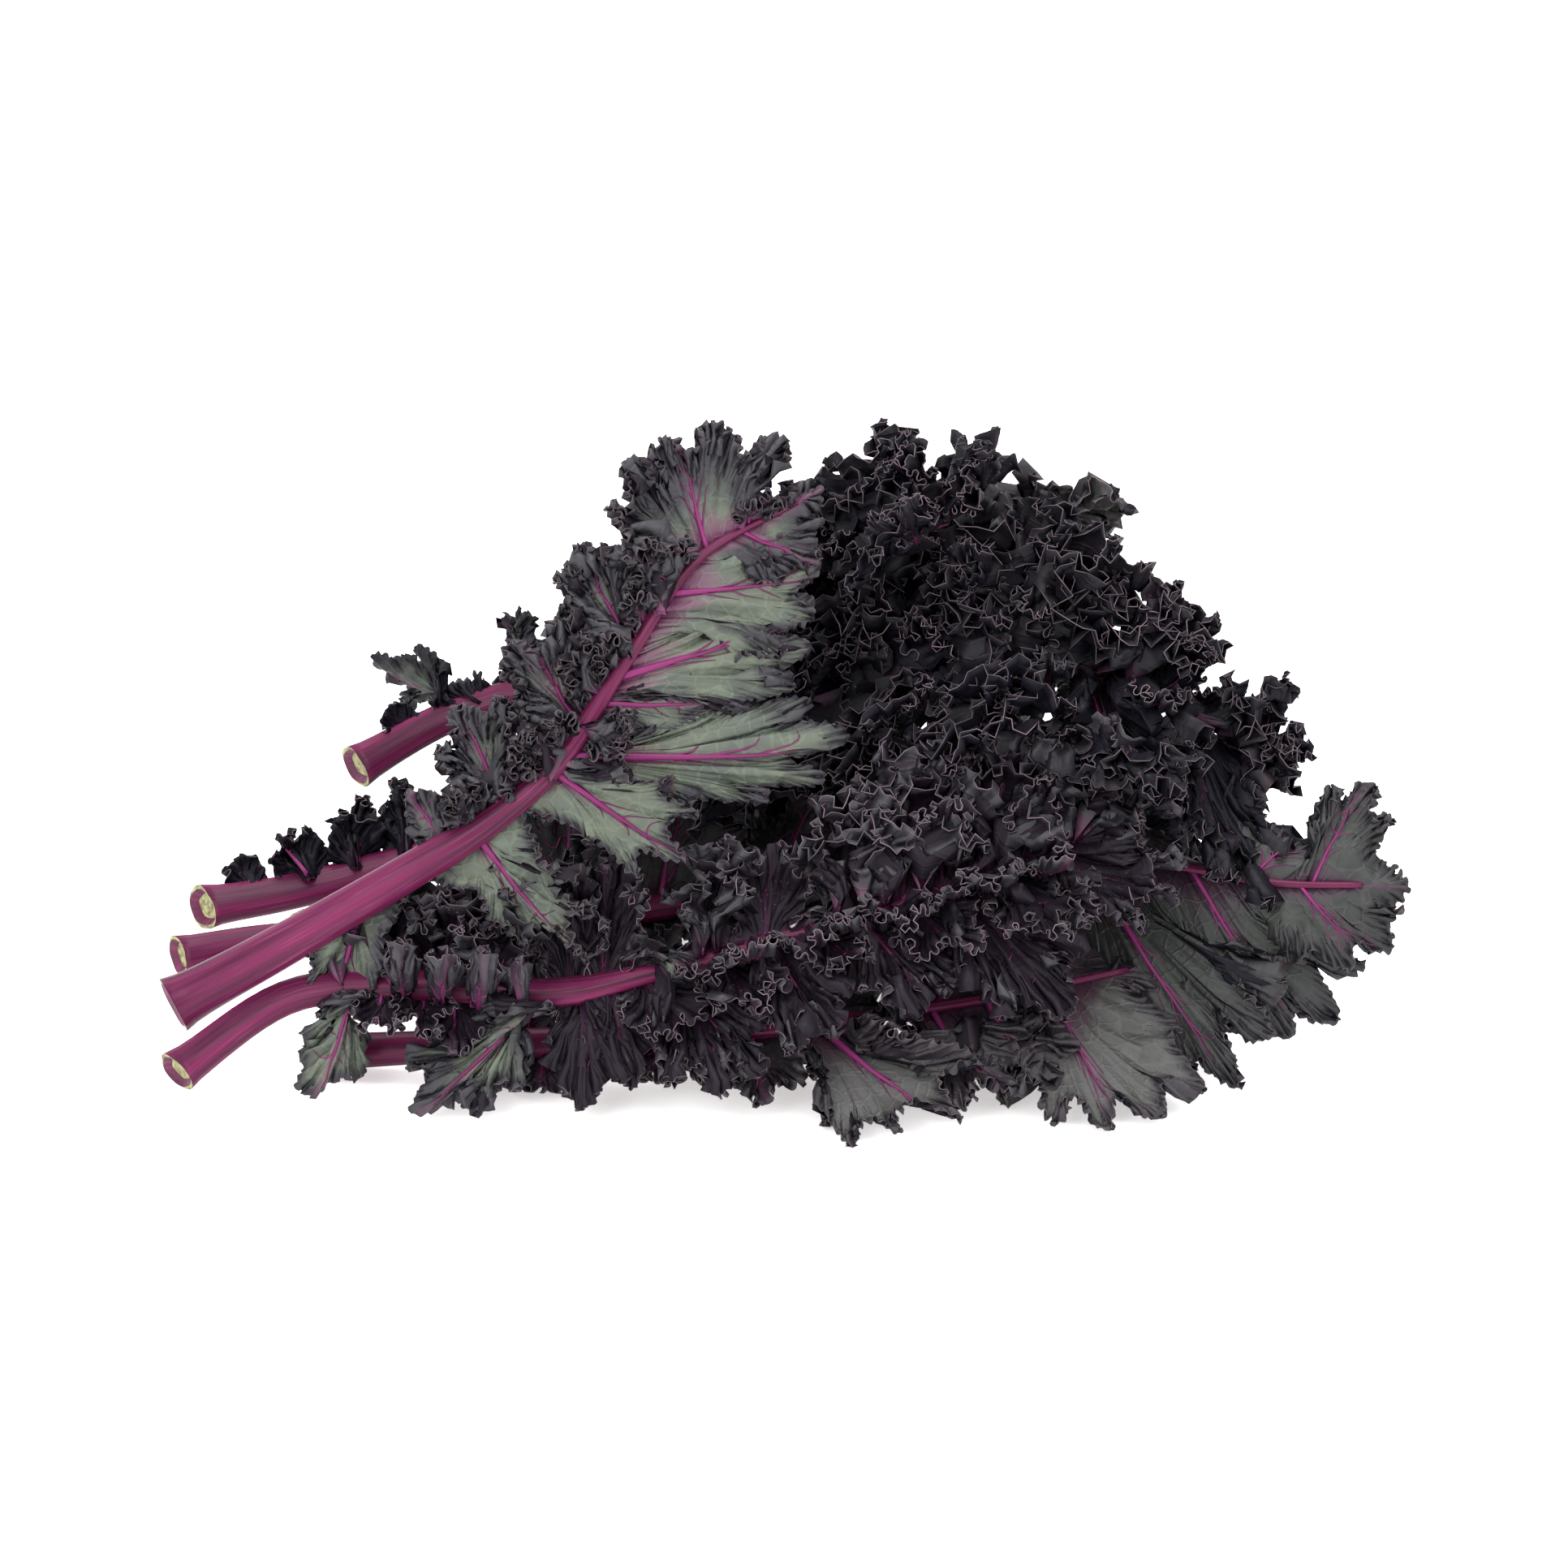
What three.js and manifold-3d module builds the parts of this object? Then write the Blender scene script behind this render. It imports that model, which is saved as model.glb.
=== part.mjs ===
// A bunch of purple curly kale, lying on its side: nine cut leaves, stalks together at -X, blades at +X.
// Millimetres, +Z up, the origin on the table under the middle of the bunch.
// Every leaf is a stalk that runs on as the midrib, and a blade of curly lobes on both sides of it. A lobe
// is a full, frilled fan of leaf, so its solid is the puffed outline of that frill.
import * as THREE from "three";
import { mergeVertices } from "three/addons/utils/BufferGeometryUtils.js";
import Module from "manifold-3d";

const wasm = await Module();
wasm.setup();

// Driving dimensions.
const CLEARANCE = 0.35; // gap between solids that touch
const LOBE_DEPTHS = [2.6, 7, 4.5]; // half the depth of a lobe at the midrib, in its frill and at its rim
const RIB_COVER = 1; // leaf over the midrib
const RIB_LAP = 2; // how far the two sides of a blade run into each other over it
const FOOT_LAP = 0.006; // how far two lobes run into each other, as a share of the midrib
const LONE_FOOT = 0.03; // the stretch of midrib before the first lobe
const TIP_FOOT = 0.98; // where the tip lobe springs from
const TIP_WIDTH = 5; // half its width there
const STALK_SIDES = 8;
const STALK_STEP = 28; // length of stalk between two rings
const TIP_RADIUS = 1.1; // midrib at the leaf's tip
const RIB_FLATNESS = 0.85; // a stalk is a little wider than it is deep
const FRAME_SHIFT = [0, -2.5, 0]; // from the arranging frame to the middle of the bunch

// One lobe: where it springs from the midrib (0 butt, 1 tip), on which side (1 left, -1 right, 0 at the
// tip), its length, the angle of its vein from the midrib, half the angle it fans over, and how far it
// lifts, curls up and sags, each as a share of its length.
function lobe(at, side, length, angle, shape = {}) {
  return { at, side, length, angle, fan: 42, edge: 0.7, lift: 0.15, curl: 0.2, sag: 0, ...shape };
}

const LEAVES = [
  {
    // Leans on the front of the pile with its underside out.
    name: "front",
    rib: [
      [-192, -55, 22], [-156, -60, 45], [-117, -62, 70], [-89, -60, 88],
      [-68, -56, 107], [-49, -42, 133], [-27, -22, 159], [4, -2, 171],
    ],
    buttRadius: 8,
    neckRadius: 5.6,
    facing: [[0.1, 1, -0.35], [0.1, 1, -0.2]],
    lobes: [
      lobe(0.27, 1, 46, 140, { fan: 34, curl: 0 }),
      lobe(0.43, 1, 44, 86, { fan: 36, curl: -0.1 }),
      lobe(0.55, 1, 50, 88, { fan: 34, curl: -0.1 }),
      lobe(0.57, 1, 84, 53, { fan: 20 }),
      lobe(0.68, 1, 62, 40, { fan: 30 }),
      lobe(0.82, 1, 48, 46, { fan: 36 }),
      lobe(1.0, 0, 18, 0),
      lobe(0.87, -1, 44, 66),
      lobe(0.72, -1, 31, 62),
      lobe(0.6, -1, 32, 70),
      lobe(0.46, -1, 31, 86),
    ],
  },
  {
    // Comes out high at the back left and runs behind the front leaf to the top.
    name: "shoulder",
    rib: [
      [-141, 50, 61], [-114, 55, 75], [-87, 55, 86], [-52, 50, 104],
      [-15, 42, 122], [22, 30, 142], [52, 16, 158],
    ],
    buttRadius: 6.2,
    neckRadius: 5,
    facing: [[-0.1, -0.95, 0.35], [-0.2, -0.4, 0.85]],
    lobes: [
      lobe(0.22, 1, 34, 146),
      lobe(0.29, 1, 28, 105),
      lobe(0.42, 1, 34, 80),
      lobe(0.55, 1, 40, 70),
      lobe(0.7, 1, 40, 62),
      lobe(0.86, 1, 38, 52),
      lobe(1.0, 0, 32, 0),
      lobe(0.85, -1, 42, 55),
      lobe(0.65, -1, 46, 66),
      lobe(0.45, -1, 42, 80),
    ],
  },
  {
    // The broad dome of frill at the upper right.
    name: "crown",
    rib: [
      [-189, 12, 27], [-160, 18, 30], [-124, 24, 38], [-76, 26, 52], [-25, 26, 72],
      [30, 20, 94], [80, 6, 110], [118, -2, 106], [144, -8, 88],
    ],
    buttRadius: 6.5,
    neckRadius: 5.2,
    facing: [[0, -0.6, 0.8], [0.2, -0.6, 0.8]],
    lobes: [
      lobe(0.14, 1, 24, 80),
      lobe(0.27, 1, 34, 80),
      lobe(0.4, 1, 44, 76),
      lobe(0.53, 1, 54, 73),
      lobe(0.65, 1, 60, 70),
      lobe(0.77, 1, 51, 64),
      lobe(0.89, 1, 36, 54),
      lobe(1.0, 0, 23, 0),
      lobe(0.93, -1, 46, 60, { sag: 0.35 }),
      lobe(0.8, -1, 50, 68, { sag: 0.15 }),
      lobe(0.63, -1, 50, 72),
      lobe(0.48, -1, 42, 78),
    ],
  },
  {
    // The longest leaf: it runs through the pile and shows its underside at the right end.
    name: "long",
    rib: [
      [-195, -14, 21], [-169, -12, 25], [-122, -8, 28], [-54, 0, 30], [9, 2, 39],
      [63, -12, 54], [115, -36, 63], [151, -50, 62], [180, -57, 64],
    ],
    buttRadius: 5.6,
    neckRadius: 4.6,
    facing: [[0.1, 0.8, -0.5], [0.1, 0.8, -0.5]],
    lobes: [
      lobe(0.45, 1, 30, 75),
      lobe(0.6, 1, 40, 70),
      lobe(0.77, 1, 70, 56, { fan: 26, curl: 0, sag: 0.12 }),
      lobe(0.86, 1, 47, 54, { fan: 30 }),
      lobe(0.95, 1, 26, 50, { fan: 32 }),
      lobe(1.0, 0, 12, 0),
      lobe(0.96, -1, 32, 76, { fan: 28 }),
      lobe(0.88, -1, 17, 60),
      lobe(0.72, -1, 16, 65),
      lobe(0.55, -1, 32, 70),
    ],
  },
  {
    // Lies over the front of the heap, its magenta midrib in the open, its leaflets hanging to the table.
    name: "lap",
    rib: [
      [-190, -72, 7], [-155, -64, 29], [-117, -66, 34], [-74, -70, 33],
      [-44, -70, 39], [9, -62, 51], [54, -50, 61], [93, -38, 71],
    ],
    buttRadius: 6.2,
    neckRadius: 5.6,
    facing: [[0, -0.5, 0.85], [0, -0.5, 0.85]],
    lobes: [
      lobe(0.4, 1, 36, 140, { fan: 36 }),
      lobe(0.54, 1, 36, 60),
      lobe(0.68, 1, 42, 66),
      lobe(0.79, 1, 48, 64),
      lobe(0.9, 1, 46, 54),
      lobe(1.0, 0, 34, 0),
      lobe(0.92, -1, 46, 56, { sag: 0.15 }),
      lobe(0.8, -1, 49, 66, { sag: 0.25 }),
      lobe(0.66, -1, 44, 72, { sag: 0.3 }),
      lobe(0.52, -1, 38, 80, { sag: 0.4 }),
      lobe(0.41, -1, 44, 130, { fan: 34, sag: 0.4 }),
    ],
  },
  {
    // Lies on the table at the front, underside up.
    name: "bed",
    rib: [
      [-145, -55, 6], [-114, -58, 9], [-61, -64, 14], [-16, -70, 20],
      [14, -72, 24], [50, -66, 27], [79, -60, 30], [108, -52, 33],
    ],
    buttRadius: 6,
    neckRadius: 4.8,
    facing: [[0, 0.5, -0.85], [0, 0.5, -0.85]],
    lobes: [
      lobe(0.38, 1, 28, 88, { lift: 0, curl: 0 }),
      lobe(0.61, 1, 50, 58, { lift: 0.05, curl: 0 }),
      lobe(0.76, 1, 42, 72, { curl: 0.1 }),
      lobe(0.92, 1, 46, 88, { fan: 34, curl: 0 }),
      lobe(1.0, 0, 36, -30, { fan: 40 }),
      lobe(0.9, -1, 38, 55),
      lobe(0.7, -1, 40, 68),
      lobe(0.48, -1, 34, 78),
    ],
  },
  {
    // Stands at the back, its upper side turned away.
    name: "rear",
    rib: [[-96, 84, 46], [-70, 84, 64], [-40, 81, 84], [0, 74, 106], [50, 62, 130], [82, 48, 148]],
    buttRadius: 5.6,
    neckRadius: 4.8,
    facing: [[0, 0.8, 0.5], [-0.2, 0.85, 0.4]],
    lobes: [
      lobe(0.14, 1, 34, 80),
      lobe(0.42, 1, 42, 72),
      lobe(0.7, 1, 38, 60),
      lobe(1.0, 0, 24, 0),
      lobe(0.75, -1, 38, 60),
      lobe(0.46, -1, 44, 70),
      lobe(0.18, -1, 38, 82),
    ],
  },
  {
    // Lies on the table at the back.
    name: "rear_bed",
    rib: [
      [-160, 48, 5], [-110, 68, 8], [-50, 82, 16], [10, 86, 28], [70, 76, 40], [108, 62, 48], [132, 50, 52],
    ],
    buttRadius: 6.2,
    neckRadius: 4.8,
    facing: [[0, 0.5, 0.85], [0, 0.5, 0.85]],
    lobes: [
      lobe(0.3, 1, 30, 80, { lift: 0, curl: 0, sag: 0.3 }),
      lobe(0.5, 1, 38, 74, { lift: 0, curl: 0, sag: 0.5 }),
      lobe(0.68, 1, 40, 70, { lift: 0, curl: 0, sag: 0.6 }),
      lobe(0.86, 1, 38, 56, { sag: 0.6 }),
      lobe(1.0, 0, 28, 0),
      lobe(0.84, -1, 40, 56),
      lobe(0.62, -1, 44, 68),
      lobe(0.4, -1, 38, 80),
    ],
  },
  {
    // Lies in the middle of the heap, under the others.
    name: "core",
    rib: [[-118, 12, 6], [-80, 18, 8], [-20, 30, 14], [44, 32, 28], [86, 26, 40], [112, 20, 48]],
    buttRadius: 5.6,
    neckRadius: 4.6,
    facing: [[0, -0.2, 1], [0.1, -0.2, 1]],
    lobes: [
      lobe(0.24, 1, 36, 80, { lift: 0, curl: 0, sag: 0.1 }),
      lobe(0.5, 1, 44, 72, { lift: 0, curl: 0, sag: 0.3 }),
      lobe(0.76, 1, 42, 60, { lift: 0, curl: 0.1 }),
      lobe(1.0, 0, 30, 0),
      lobe(0.76, -1, 44, 60, { lift: 0, curl: 0 }),
      lobe(0.5, -1, 46, 72, { lift: 0, curl: 0, sag: 0.3 }),
      lobe(0.24, -1, 38, 82, { lift: 0, curl: 0, sag: 0.2 }),
    ],
  },
];

// The midrib's line, and the leaf's own directions at a place on it: along it, towards the upper side,
// and to the left.
function ribOf(leaf) {
  const points = leaf.rib.map((p) => new THREE.Vector3(...p));
  const curve = new THREE.CatmullRomCurve3(points, false, "catmullrom", 0.5);
  const length = curve.getLength();
  const [buttFace, tipFace] = leaf.facing.map((f) => new THREE.Vector3(...f));
  const at = (share) => {
    const t = THREE.MathUtils.clamp(share, 0, 1);
    const along = curve.getTangentAt(t);
    const up = buttFace.clone().lerp(tipFace, t);
    up.addScaledVector(along, -up.dot(along)).normalize();
    const left = up.clone().cross(along);
    const point = curve.getPointAt(t).addScaledVector(along, (share - t) * length);
    return { point, along, up, left };
  };
  return { length, at };
}

// The stalk narrows slowly to the foot of the blade and quickly beyond it.
function stalkRadius(leaf, share) {
  const foot = leaf.lobes[0].at;
  if (share < foot) {
    return THREE.MathUtils.lerp(leaf.buttRadius, leaf.neckRadius, share / foot);
  }
  const beyond = (share - foot) / (1 - foot);
  return THREE.MathUtils.lerp(leaf.neckRadius, TIP_RADIUS, Math.sqrt(beyond));
}

// Moves every vertex of a three.js geometry by a function and gives a solid.
function solidFrom(geometry, place) {
  const shape = geometry.clone();
  shape.deleteAttribute("normal");
  shape.deleteAttribute("uv");
  const merged = mergeVertices(shape, 1e-4);
  const position = merged.getAttribute("position");
  const vertex = new THREE.Vector3();
  for (let i = 0; i < position.count; i++) {
    place(vertex.fromBufferAttribute(position, i));
    position.setXYZ(i, vertex.x, vertex.y, vertex.z);
  }
  return new wasm.Manifold(
    new wasm.Mesh({
      numProp: 3,
      vertProperties: position.array,
      triVerts: new Uint32Array(merged.index.array),
    }),
  );
}

// The stalk and midrib: a tapered, slightly flattened rod along the midrib's line.
function stalkSolid(leaf, grow = 0) {
  const rib = ribOf(leaf);
  const steps = Math.round(rib.length / STALK_STEP);
  const rod = new THREE.CylinderGeometry(1, 1, 1, STALK_SIDES, steps);
  return solidFrom(rod, (v) => {
    const share = v.y + 0.5;
    const { point, along, up, left } = rib.at(share);
    const radius = stalkRadius(leaf, share) + grow;
    const [across, deep] = [v.z * radius, v.x * radius * RIB_FLATNESS];
    v.copy(point).addScaledVector(left, across).addScaledVector(up, deep);
    v.addScaledVector(along, Math.sign(2 * share - 1) * (share === 0 || share === 1 ? grow : 0));
  });
}

// The lobes of one side from the blade's foot to its tip, each with the stretch of midrib it springs from:
// halfway to its neighbours, and a little into them.
function sideLobes(leaf, side) {
  const lobes = leaf.lobes.filter((spec) => spec.side === side || spec.side === 0);
  lobes.sort((one, other) => one.at - other.at);
  return lobes.map((spec, i) => {
    const before = i > 0 ? (spec.at - lobes[i - 1].at) / 2 : LONE_FOOT;
    const after = i < lobes.length - 1 ? (lobes[i + 1].at - spec.at) / 2 : 0;
    return { ...spec, from: spec.at - before - FOOT_LAP, to: Math.min(1, spec.at + after + FOOT_LAP) };
  });
}

// One lobe: a fan of three rays from the midrib, thickest across its frill.
function lobeSolid(leaf, rib, spec, grow) {
  const side = spec.side || 1;
  const fan = new THREE.BoxGeometry(2, 1, 1, 2, 2, 1).translate(0, 0.5, 0);
  return solidFrom(fan, (v) => {
    const [sweep, reach, face] = [v.x, v.y, Math.sign(v.z) * side];
    const foot = spec.side === 0 ? TIP_FOOT : THREE.MathUtils.lerp(spec.from, spec.to, (sweep + 1) / 2);
    const angle = THREE.MathUtils.degToRad(side * (spec.angle - sweep * spec.fan));
    const { point, along, up, left } = rib.at(foot);
    const course = along.clone().multiplyScalar(Math.cos(angle)).addScaledVector(left, Math.sin(angle));
    course.addScaledVector(up, spec.lift).normalize();
    const bend = up.clone().multiplyScalar(spec.curl);
    bend.z -= spec.sag;
    const heading = course.clone().addScaledVector(bend, 2 * reach).normalize();
    const thick = up.clone().addScaledVector(heading, -up.dot(heading)).normalize();
    const across = heading.clone().cross(thick).multiplyScalar(side);
    const length = spec.length * (sweep === 0 ? 1 : spec.edge);
    const inward = spec.side === 0 ? Math.sin(angle) * TIP_WIDTH : -side * RIB_LAP;
    const overRib = (1 - reach) * (stalkRadius(leaf, foot) * RIB_FLATNESS + RIB_COVER);
    v.copy(point).addScaledVector(left, (1 - reach) * inward).addScaledVector(up, overRib);
    v.addScaledVector(course, length * reach).addScaledVector(bend, length * reach * reach);
    v.addScaledVector(heading, Math.sign(reach - 0.5) * grow).addScaledVector(across, sweep * grow);
    v.addScaledVector(thick, face * (LOBE_DEPTHS[2 * reach] + grow));
  });
}

function bladeSolid(leaf, grow = 0) {
  const rib = ribOf(leaf);
  const lobes = [...sideLobes(leaf, 1), ...sideLobes(leaf, -1).filter((spec) => spec.side !== 0)];
  const solids = lobes.map((spec) => lobeSolid(leaf, rib, spec, grow));
  return solids.reduce((sum, next) => sum.add(next));
}

// The table: whatever would reach below it is pressed flat.
function aboveTable(solid) {
  const slab = new THREE.BoxGeometry(800, 800, 100).translate(0, 0, -50);
  return solid.subtract(solidFrom(slab, () => {}));
}

// Cuts can leave crumbs: the largest body is the piece.
function largestBody(solid) {
  const bodies = solid.decompose();
  return bodies.reduce((best, next) => (next.volume() > best.volume() ? next : best));
}

function meshOf(name, solid, material) {
  const made = solid.getMesh();
  const geometry = new THREE.BufferGeometry();
  geometry.setAttribute("position", new THREE.BufferAttribute(made.vertProperties, made.numProp));
  geometry.setIndex(new THREE.BufferAttribute(made.triVerts, 1));
  geometry.computeVertexNormals();
  const mesh = new THREE.Mesh(geometry, material);
  mesh.name = name;
  return mesh;
}

const stalkMaterial = new THREE.MeshStandardMaterial({ color: 0x8a2f6b, roughness: 0.45, metalness: 0 });
const bladeMaterial = new THREE.MeshStandardMaterial({ color: 0x2c2a33, roughness: 0.6, metalness: 0 });

const bunch = new THREE.Group();
bunch.position.set(...FRAME_SHIFT);

for (const leaf of LEAVES) {
  bunch.add(meshOf(`${leaf.name}_leaf_stalk`, aboveTable(stalkSolid(leaf)), stalkMaterial));
}

// Each blade makes room for every stalk and for the blades before it.
let taken = LEAVES.map((leaf) => stalkSolid(leaf, CLEARANCE)).reduce((sum, next) => sum.add(next));
for (const leaf of LEAVES) {
  const blade = largestBody(aboveTable(bladeSolid(leaf).subtract(taken)));
  bunch.add(meshOf(`${leaf.name}_leaf_blade`, blade, bladeMaterial));
  taken = taken.add(bladeSolid(leaf, CLEARANCE));
}

export default bunch;
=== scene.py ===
"""A bunch of purple curly kale lying on its side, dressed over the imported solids.

Nine cut leaves are heaped loosely. Each leaf is a stalk that runs on as the midrib and sends veins into its
lobes, and a blade: one thin sheet, grown out from the midrib in rays, whose margin is far longer than the
leaf it hems, so that it ruffles in two orders, broad waves with small tight frills on them. Sizes here are in
millimetres and become metres when a mesh is written.
"""

import logging
import math
from dataclasses import dataclass, field
from enum import Enum, IntEnum

import bmesh
import bpy
import numpy as np
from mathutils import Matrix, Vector


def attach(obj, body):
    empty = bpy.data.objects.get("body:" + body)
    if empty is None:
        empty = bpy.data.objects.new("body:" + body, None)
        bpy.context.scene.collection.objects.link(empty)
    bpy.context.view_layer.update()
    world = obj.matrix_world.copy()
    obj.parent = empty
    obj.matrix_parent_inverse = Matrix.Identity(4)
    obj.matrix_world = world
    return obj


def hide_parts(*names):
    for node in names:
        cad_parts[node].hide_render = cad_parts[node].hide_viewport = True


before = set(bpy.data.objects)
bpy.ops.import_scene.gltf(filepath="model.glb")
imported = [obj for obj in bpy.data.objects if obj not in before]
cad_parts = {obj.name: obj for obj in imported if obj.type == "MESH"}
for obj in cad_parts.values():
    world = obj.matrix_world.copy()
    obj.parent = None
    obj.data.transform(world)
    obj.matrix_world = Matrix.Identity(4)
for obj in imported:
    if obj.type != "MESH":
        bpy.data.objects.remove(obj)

MM = 0.001
MIDDLE = (0.0, -2.5, 0.0)  # from the arranging frame to the middle of the bunch, as in the solids
LOG = logging.getLogger("kale")


class Side(Enum):
    """The side of the midrib a lobe stands on, seen from the leaf's upper side."""

    LEFT = 1
    TIP = 0
    RIGHT = -1


class Ray(IntEnum):
    """The values that a ray carries, in the order of their columns."""

    PLACE = 0
    ANGLE = 1
    LENGTH = 2
    LIFT = 3
    CURL = 4
    SAG = 5
    SWEEP = 6
    ROLL = 7
    FRILL = 8
    REACH = 9
    MIDDLE = 10
    TURN = 11
    # depth of the dark hem: partly the leaf's purple margin, partly painted shade
    DARK_HEM_AND_SHADE = 12
    DETAIL = 13


class Grain(Enum):
    """How finely a leaf is meshed: columns to a centimetre of its unruffled margin."""

    FINE = 35.0
    MEDIUM = 30.0
    COARSE = 11.0


@dataclass(frozen=True)
class Lobe:
    """One lobe of a blade: a fan of rays from the midrib.

    Lengths are in millimetres, angles in degrees; lift, curl, sag and sweep are shares of the length. Turn
    twists the lobe about its own vein. Reach is how deep its frills come in and the hem depth how deep its
    dark hem does, each against the leaf's own; that dark hem is partly the leaf's purple margin and partly
    painted shade. Detail is how finely the lobe is meshed, less where others hide it.
    """

    at: float
    side: Side
    length: float
    angle: float
    fan: float = 42.0
    edge: float = 0.45
    web: float = 9.0
    foot: float = 6.0
    lift: float = 0.15
    curl: float = 0.2
    sag: float = 0.0
    sweep: float = 0.12
    roll: float = 0.0
    frill: float = 1.0
    reach: float = 1.0
    turn: float = 0.0
    # how deep the dark hem reaches, against the leaf's own: partly the purple margin, partly painted shade
    dusk: float = 1.0
    detail: float = 1.0
    veins: int = 3


L, R, T = Side.LEFT, Side.RIGHT, Side.TIP


def crest(at: float, side: Side, length: float, angle: float, lift: float, **shape: float) -> Lobe:
    """A small wide fan on a short foot, raised between two lobes; lift says which way and how far."""
    return Lobe(at, side, length, angle, fan=50, foot=3, lift=lift, **shape)


def curly(at: float, side: Side, length: float, angle: float, **shape: float) -> Lobe:
    """A lobe of the front leaf whose margin is frilled deep, its dark hem spread all over: partly the leaf's
    purple margin, partly painted shade among the frills.
    """
    return Lobe(at, side, length, angle, frill=3.2, **{"reach": 1.8, "dusk": 3, **shape})


def spill(at: float, side: Side, length: float, angle: float, **shape: float) -> Lobe:
    """A lobe of the bed leaf that lies frilled on the table, its dark hem spread deep: partly the leaf's
    purple margin, partly painted shade under the heap.
    """
    return Lobe(at, side, length, angle, frill=2, reach=1.4, **{"dusk": 4, **shape})


def laid(at: float, side: Side, length: float, angle: float, **shape: float) -> Lobe:
    """A lobe laid flat: it neither lifts nor curls up."""
    return Lobe(at, side, length, angle, lift=0, curl=0, **shape)


def tidy_noise(rng: np.random.Generator, x: np.ndarray, pitch: float) -> np.ndarray:
    """Smooth random wander along a line.

    Args:
        rng: Source of the random values.
        x: Places along the line, rising.
        pitch: Distance between two random values.

    Returns:
        Values of about -1 to 1 at the places.
    """
    knots = rng.uniform(-1.0, 1.0, int(x.max() / pitch) + 4)
    place = x / pitch
    low = np.floor(place).astype(int)
    share = place - low
    share = share * share * (3.0 - 2.0 * share)
    return knots[low] * (1.0 - share) + knots[low + 1] * share


def unit(v: np.ndarray) -> np.ndarray:
    """Vectors of length one along the last axis."""
    return v / np.maximum(np.linalg.norm(v, axis=-1, keepdims=True), 1e-9)


def smooth_step(x: np.ndarray) -> np.ndarray:
    """Eases from 0 to 1."""
    x = np.clip(x, 0.0, 1.0)
    return x * x * (3.0 - 2.0 * x)


def above_table(z: np.ndarray, low: float, soft: float) -> np.ndarray:
    """Heights squeezed smoothly so that none is under `low`; those over `soft` stay as they are."""
    pressed = low + (soft - low) * np.exp((np.minimum(z, soft) - soft) / (soft - low))
    return np.where(z < soft, pressed, z)


def meander(swing: np.ndarray, phase: np.ndarray) -> tuple[np.ndarray, np.ndarray, np.ndarray]:
    """A hem that is longer than the line it is sewn to, wandering like a river.

    Its heading swings as a sine of the distance along it, so a wide swing loops back over itself.

    Args:
        swing: Largest angle between hem and line, in radians.
        phase: Waves passed.

    Returns:
        How far the hem is ahead of the line, how far it stands off it, both per wave of hem, and the
        share of hem that a wave of line takes up.
    """
    steps = (np.arange(MEANDER_STEPS) + 0.5) / MEANDER_STEPS * math.pi

    def harmonic(order: int) -> np.ndarray:
        """The Bessel function of the swing, of the given order."""
        return np.cos(order * steps - swing[..., None] * np.sin(steps)).mean(-1)

    turn = 2.0 * math.pi * phase
    ahead = sum(harmonic(k) * np.sin(k * turn) / (k * math.pi) for k in (2, 4))
    off = -sum(harmonic(k) * np.cos(k * turn) / (k * math.pi) for k in (1, 3))
    return ahead, off, harmonic(0)


class Rib:
    """The line of a leaf's stalk and midrib, and the leaf's own directions along it."""

    def __init__(self, points: tuple, facing: tuple) -> None:
        """Draws a smooth line through the points.

        Args:
            points: From the butt to the tip.
            facing: Where the upper side looks, at the butt and at the tip.
        """
        knots = np.array(points, float)
        knots = np.concatenate([[2 * knots[0] - knots[1]], knots, [2 * knots[-1] - knots[-2]]])
        line = []
        for p0, p1, p2, p3 in zip(knots, knots[1:], knots[2:], knots[3:]):
            t = np.linspace(0.0, 1.0, CURVE_STEPS, endpoint=False)[:, None]
            line.append(
                0.5
                * (
                    2 * p1
                    + (p2 - p0) * t
                    + (2 * p0 - 5 * p1 + 4 * p2 - p3) * t**2
                    + (3 * p1 - p0 - 3 * p2 + p3) * t**3
                )
            )
        line.append(knots[-2][None])
        self.line = np.concatenate(line)
        steps = np.linalg.norm(np.diff(self.line, axis=0), axis=1)
        self.passed = np.concatenate([[0.0], np.cumsum(steps)])
        self.length = float(self.passed[-1])
        self.facing = np.array(facing, float)

    def _walk(self, distance: np.ndarray) -> np.ndarray:
        """Points at distances from the butt."""
        distance = np.clip(distance, 0.0, self.length)
        return np.stack([np.interp(distance, self.passed, self.line[:, k]) for k in range(3)], -1)

    def at(self, share: np.ndarray) -> tuple[np.ndarray, np.ndarray, np.ndarray, np.ndarray]:
        """Place and directions at shares of the length.

        Args:
            share: 0 at the butt, 1 at the tip.

        Returns:
            The points, and the directions along the rib, to the upper side and to the left.
        """
        share = np.atleast_1d(np.asarray(share, float))
        distance = share * self.length
        along = unit(self._walk(distance + 2.0) - self._walk(distance - 2.0))
        weight = np.clip(share, 0.0, 1.0)[:, None]
        up = self.facing[0] * (1 - weight) + self.facing[1] * weight
        up = unit(up - (up * along).sum(-1, keepdims=True) * along)
        return self._walk(distance), along, up, np.cross(up, along)


@dataclass(frozen=True)
class Ruffle:
    """One order of ruffle of a margin: a wave's length, the swing of its hem and how deep it reaches in."""

    wave: float
    swing: float
    depth: float
    unrest: float = 0.16


@dataclass(frozen=True)
class Frills:
    """How a leaf's margin is ruffled, in millimetres and radians, and how puckered the leaf is inside."""

    ruffles: tuple = (Ruffle(11, 1.25, 20), Ruffle(3.5, 1.65, 7))
    roll_depth: float = 26.0
    pucker: float = 1.2
    lobules: float = 0.12


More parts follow.
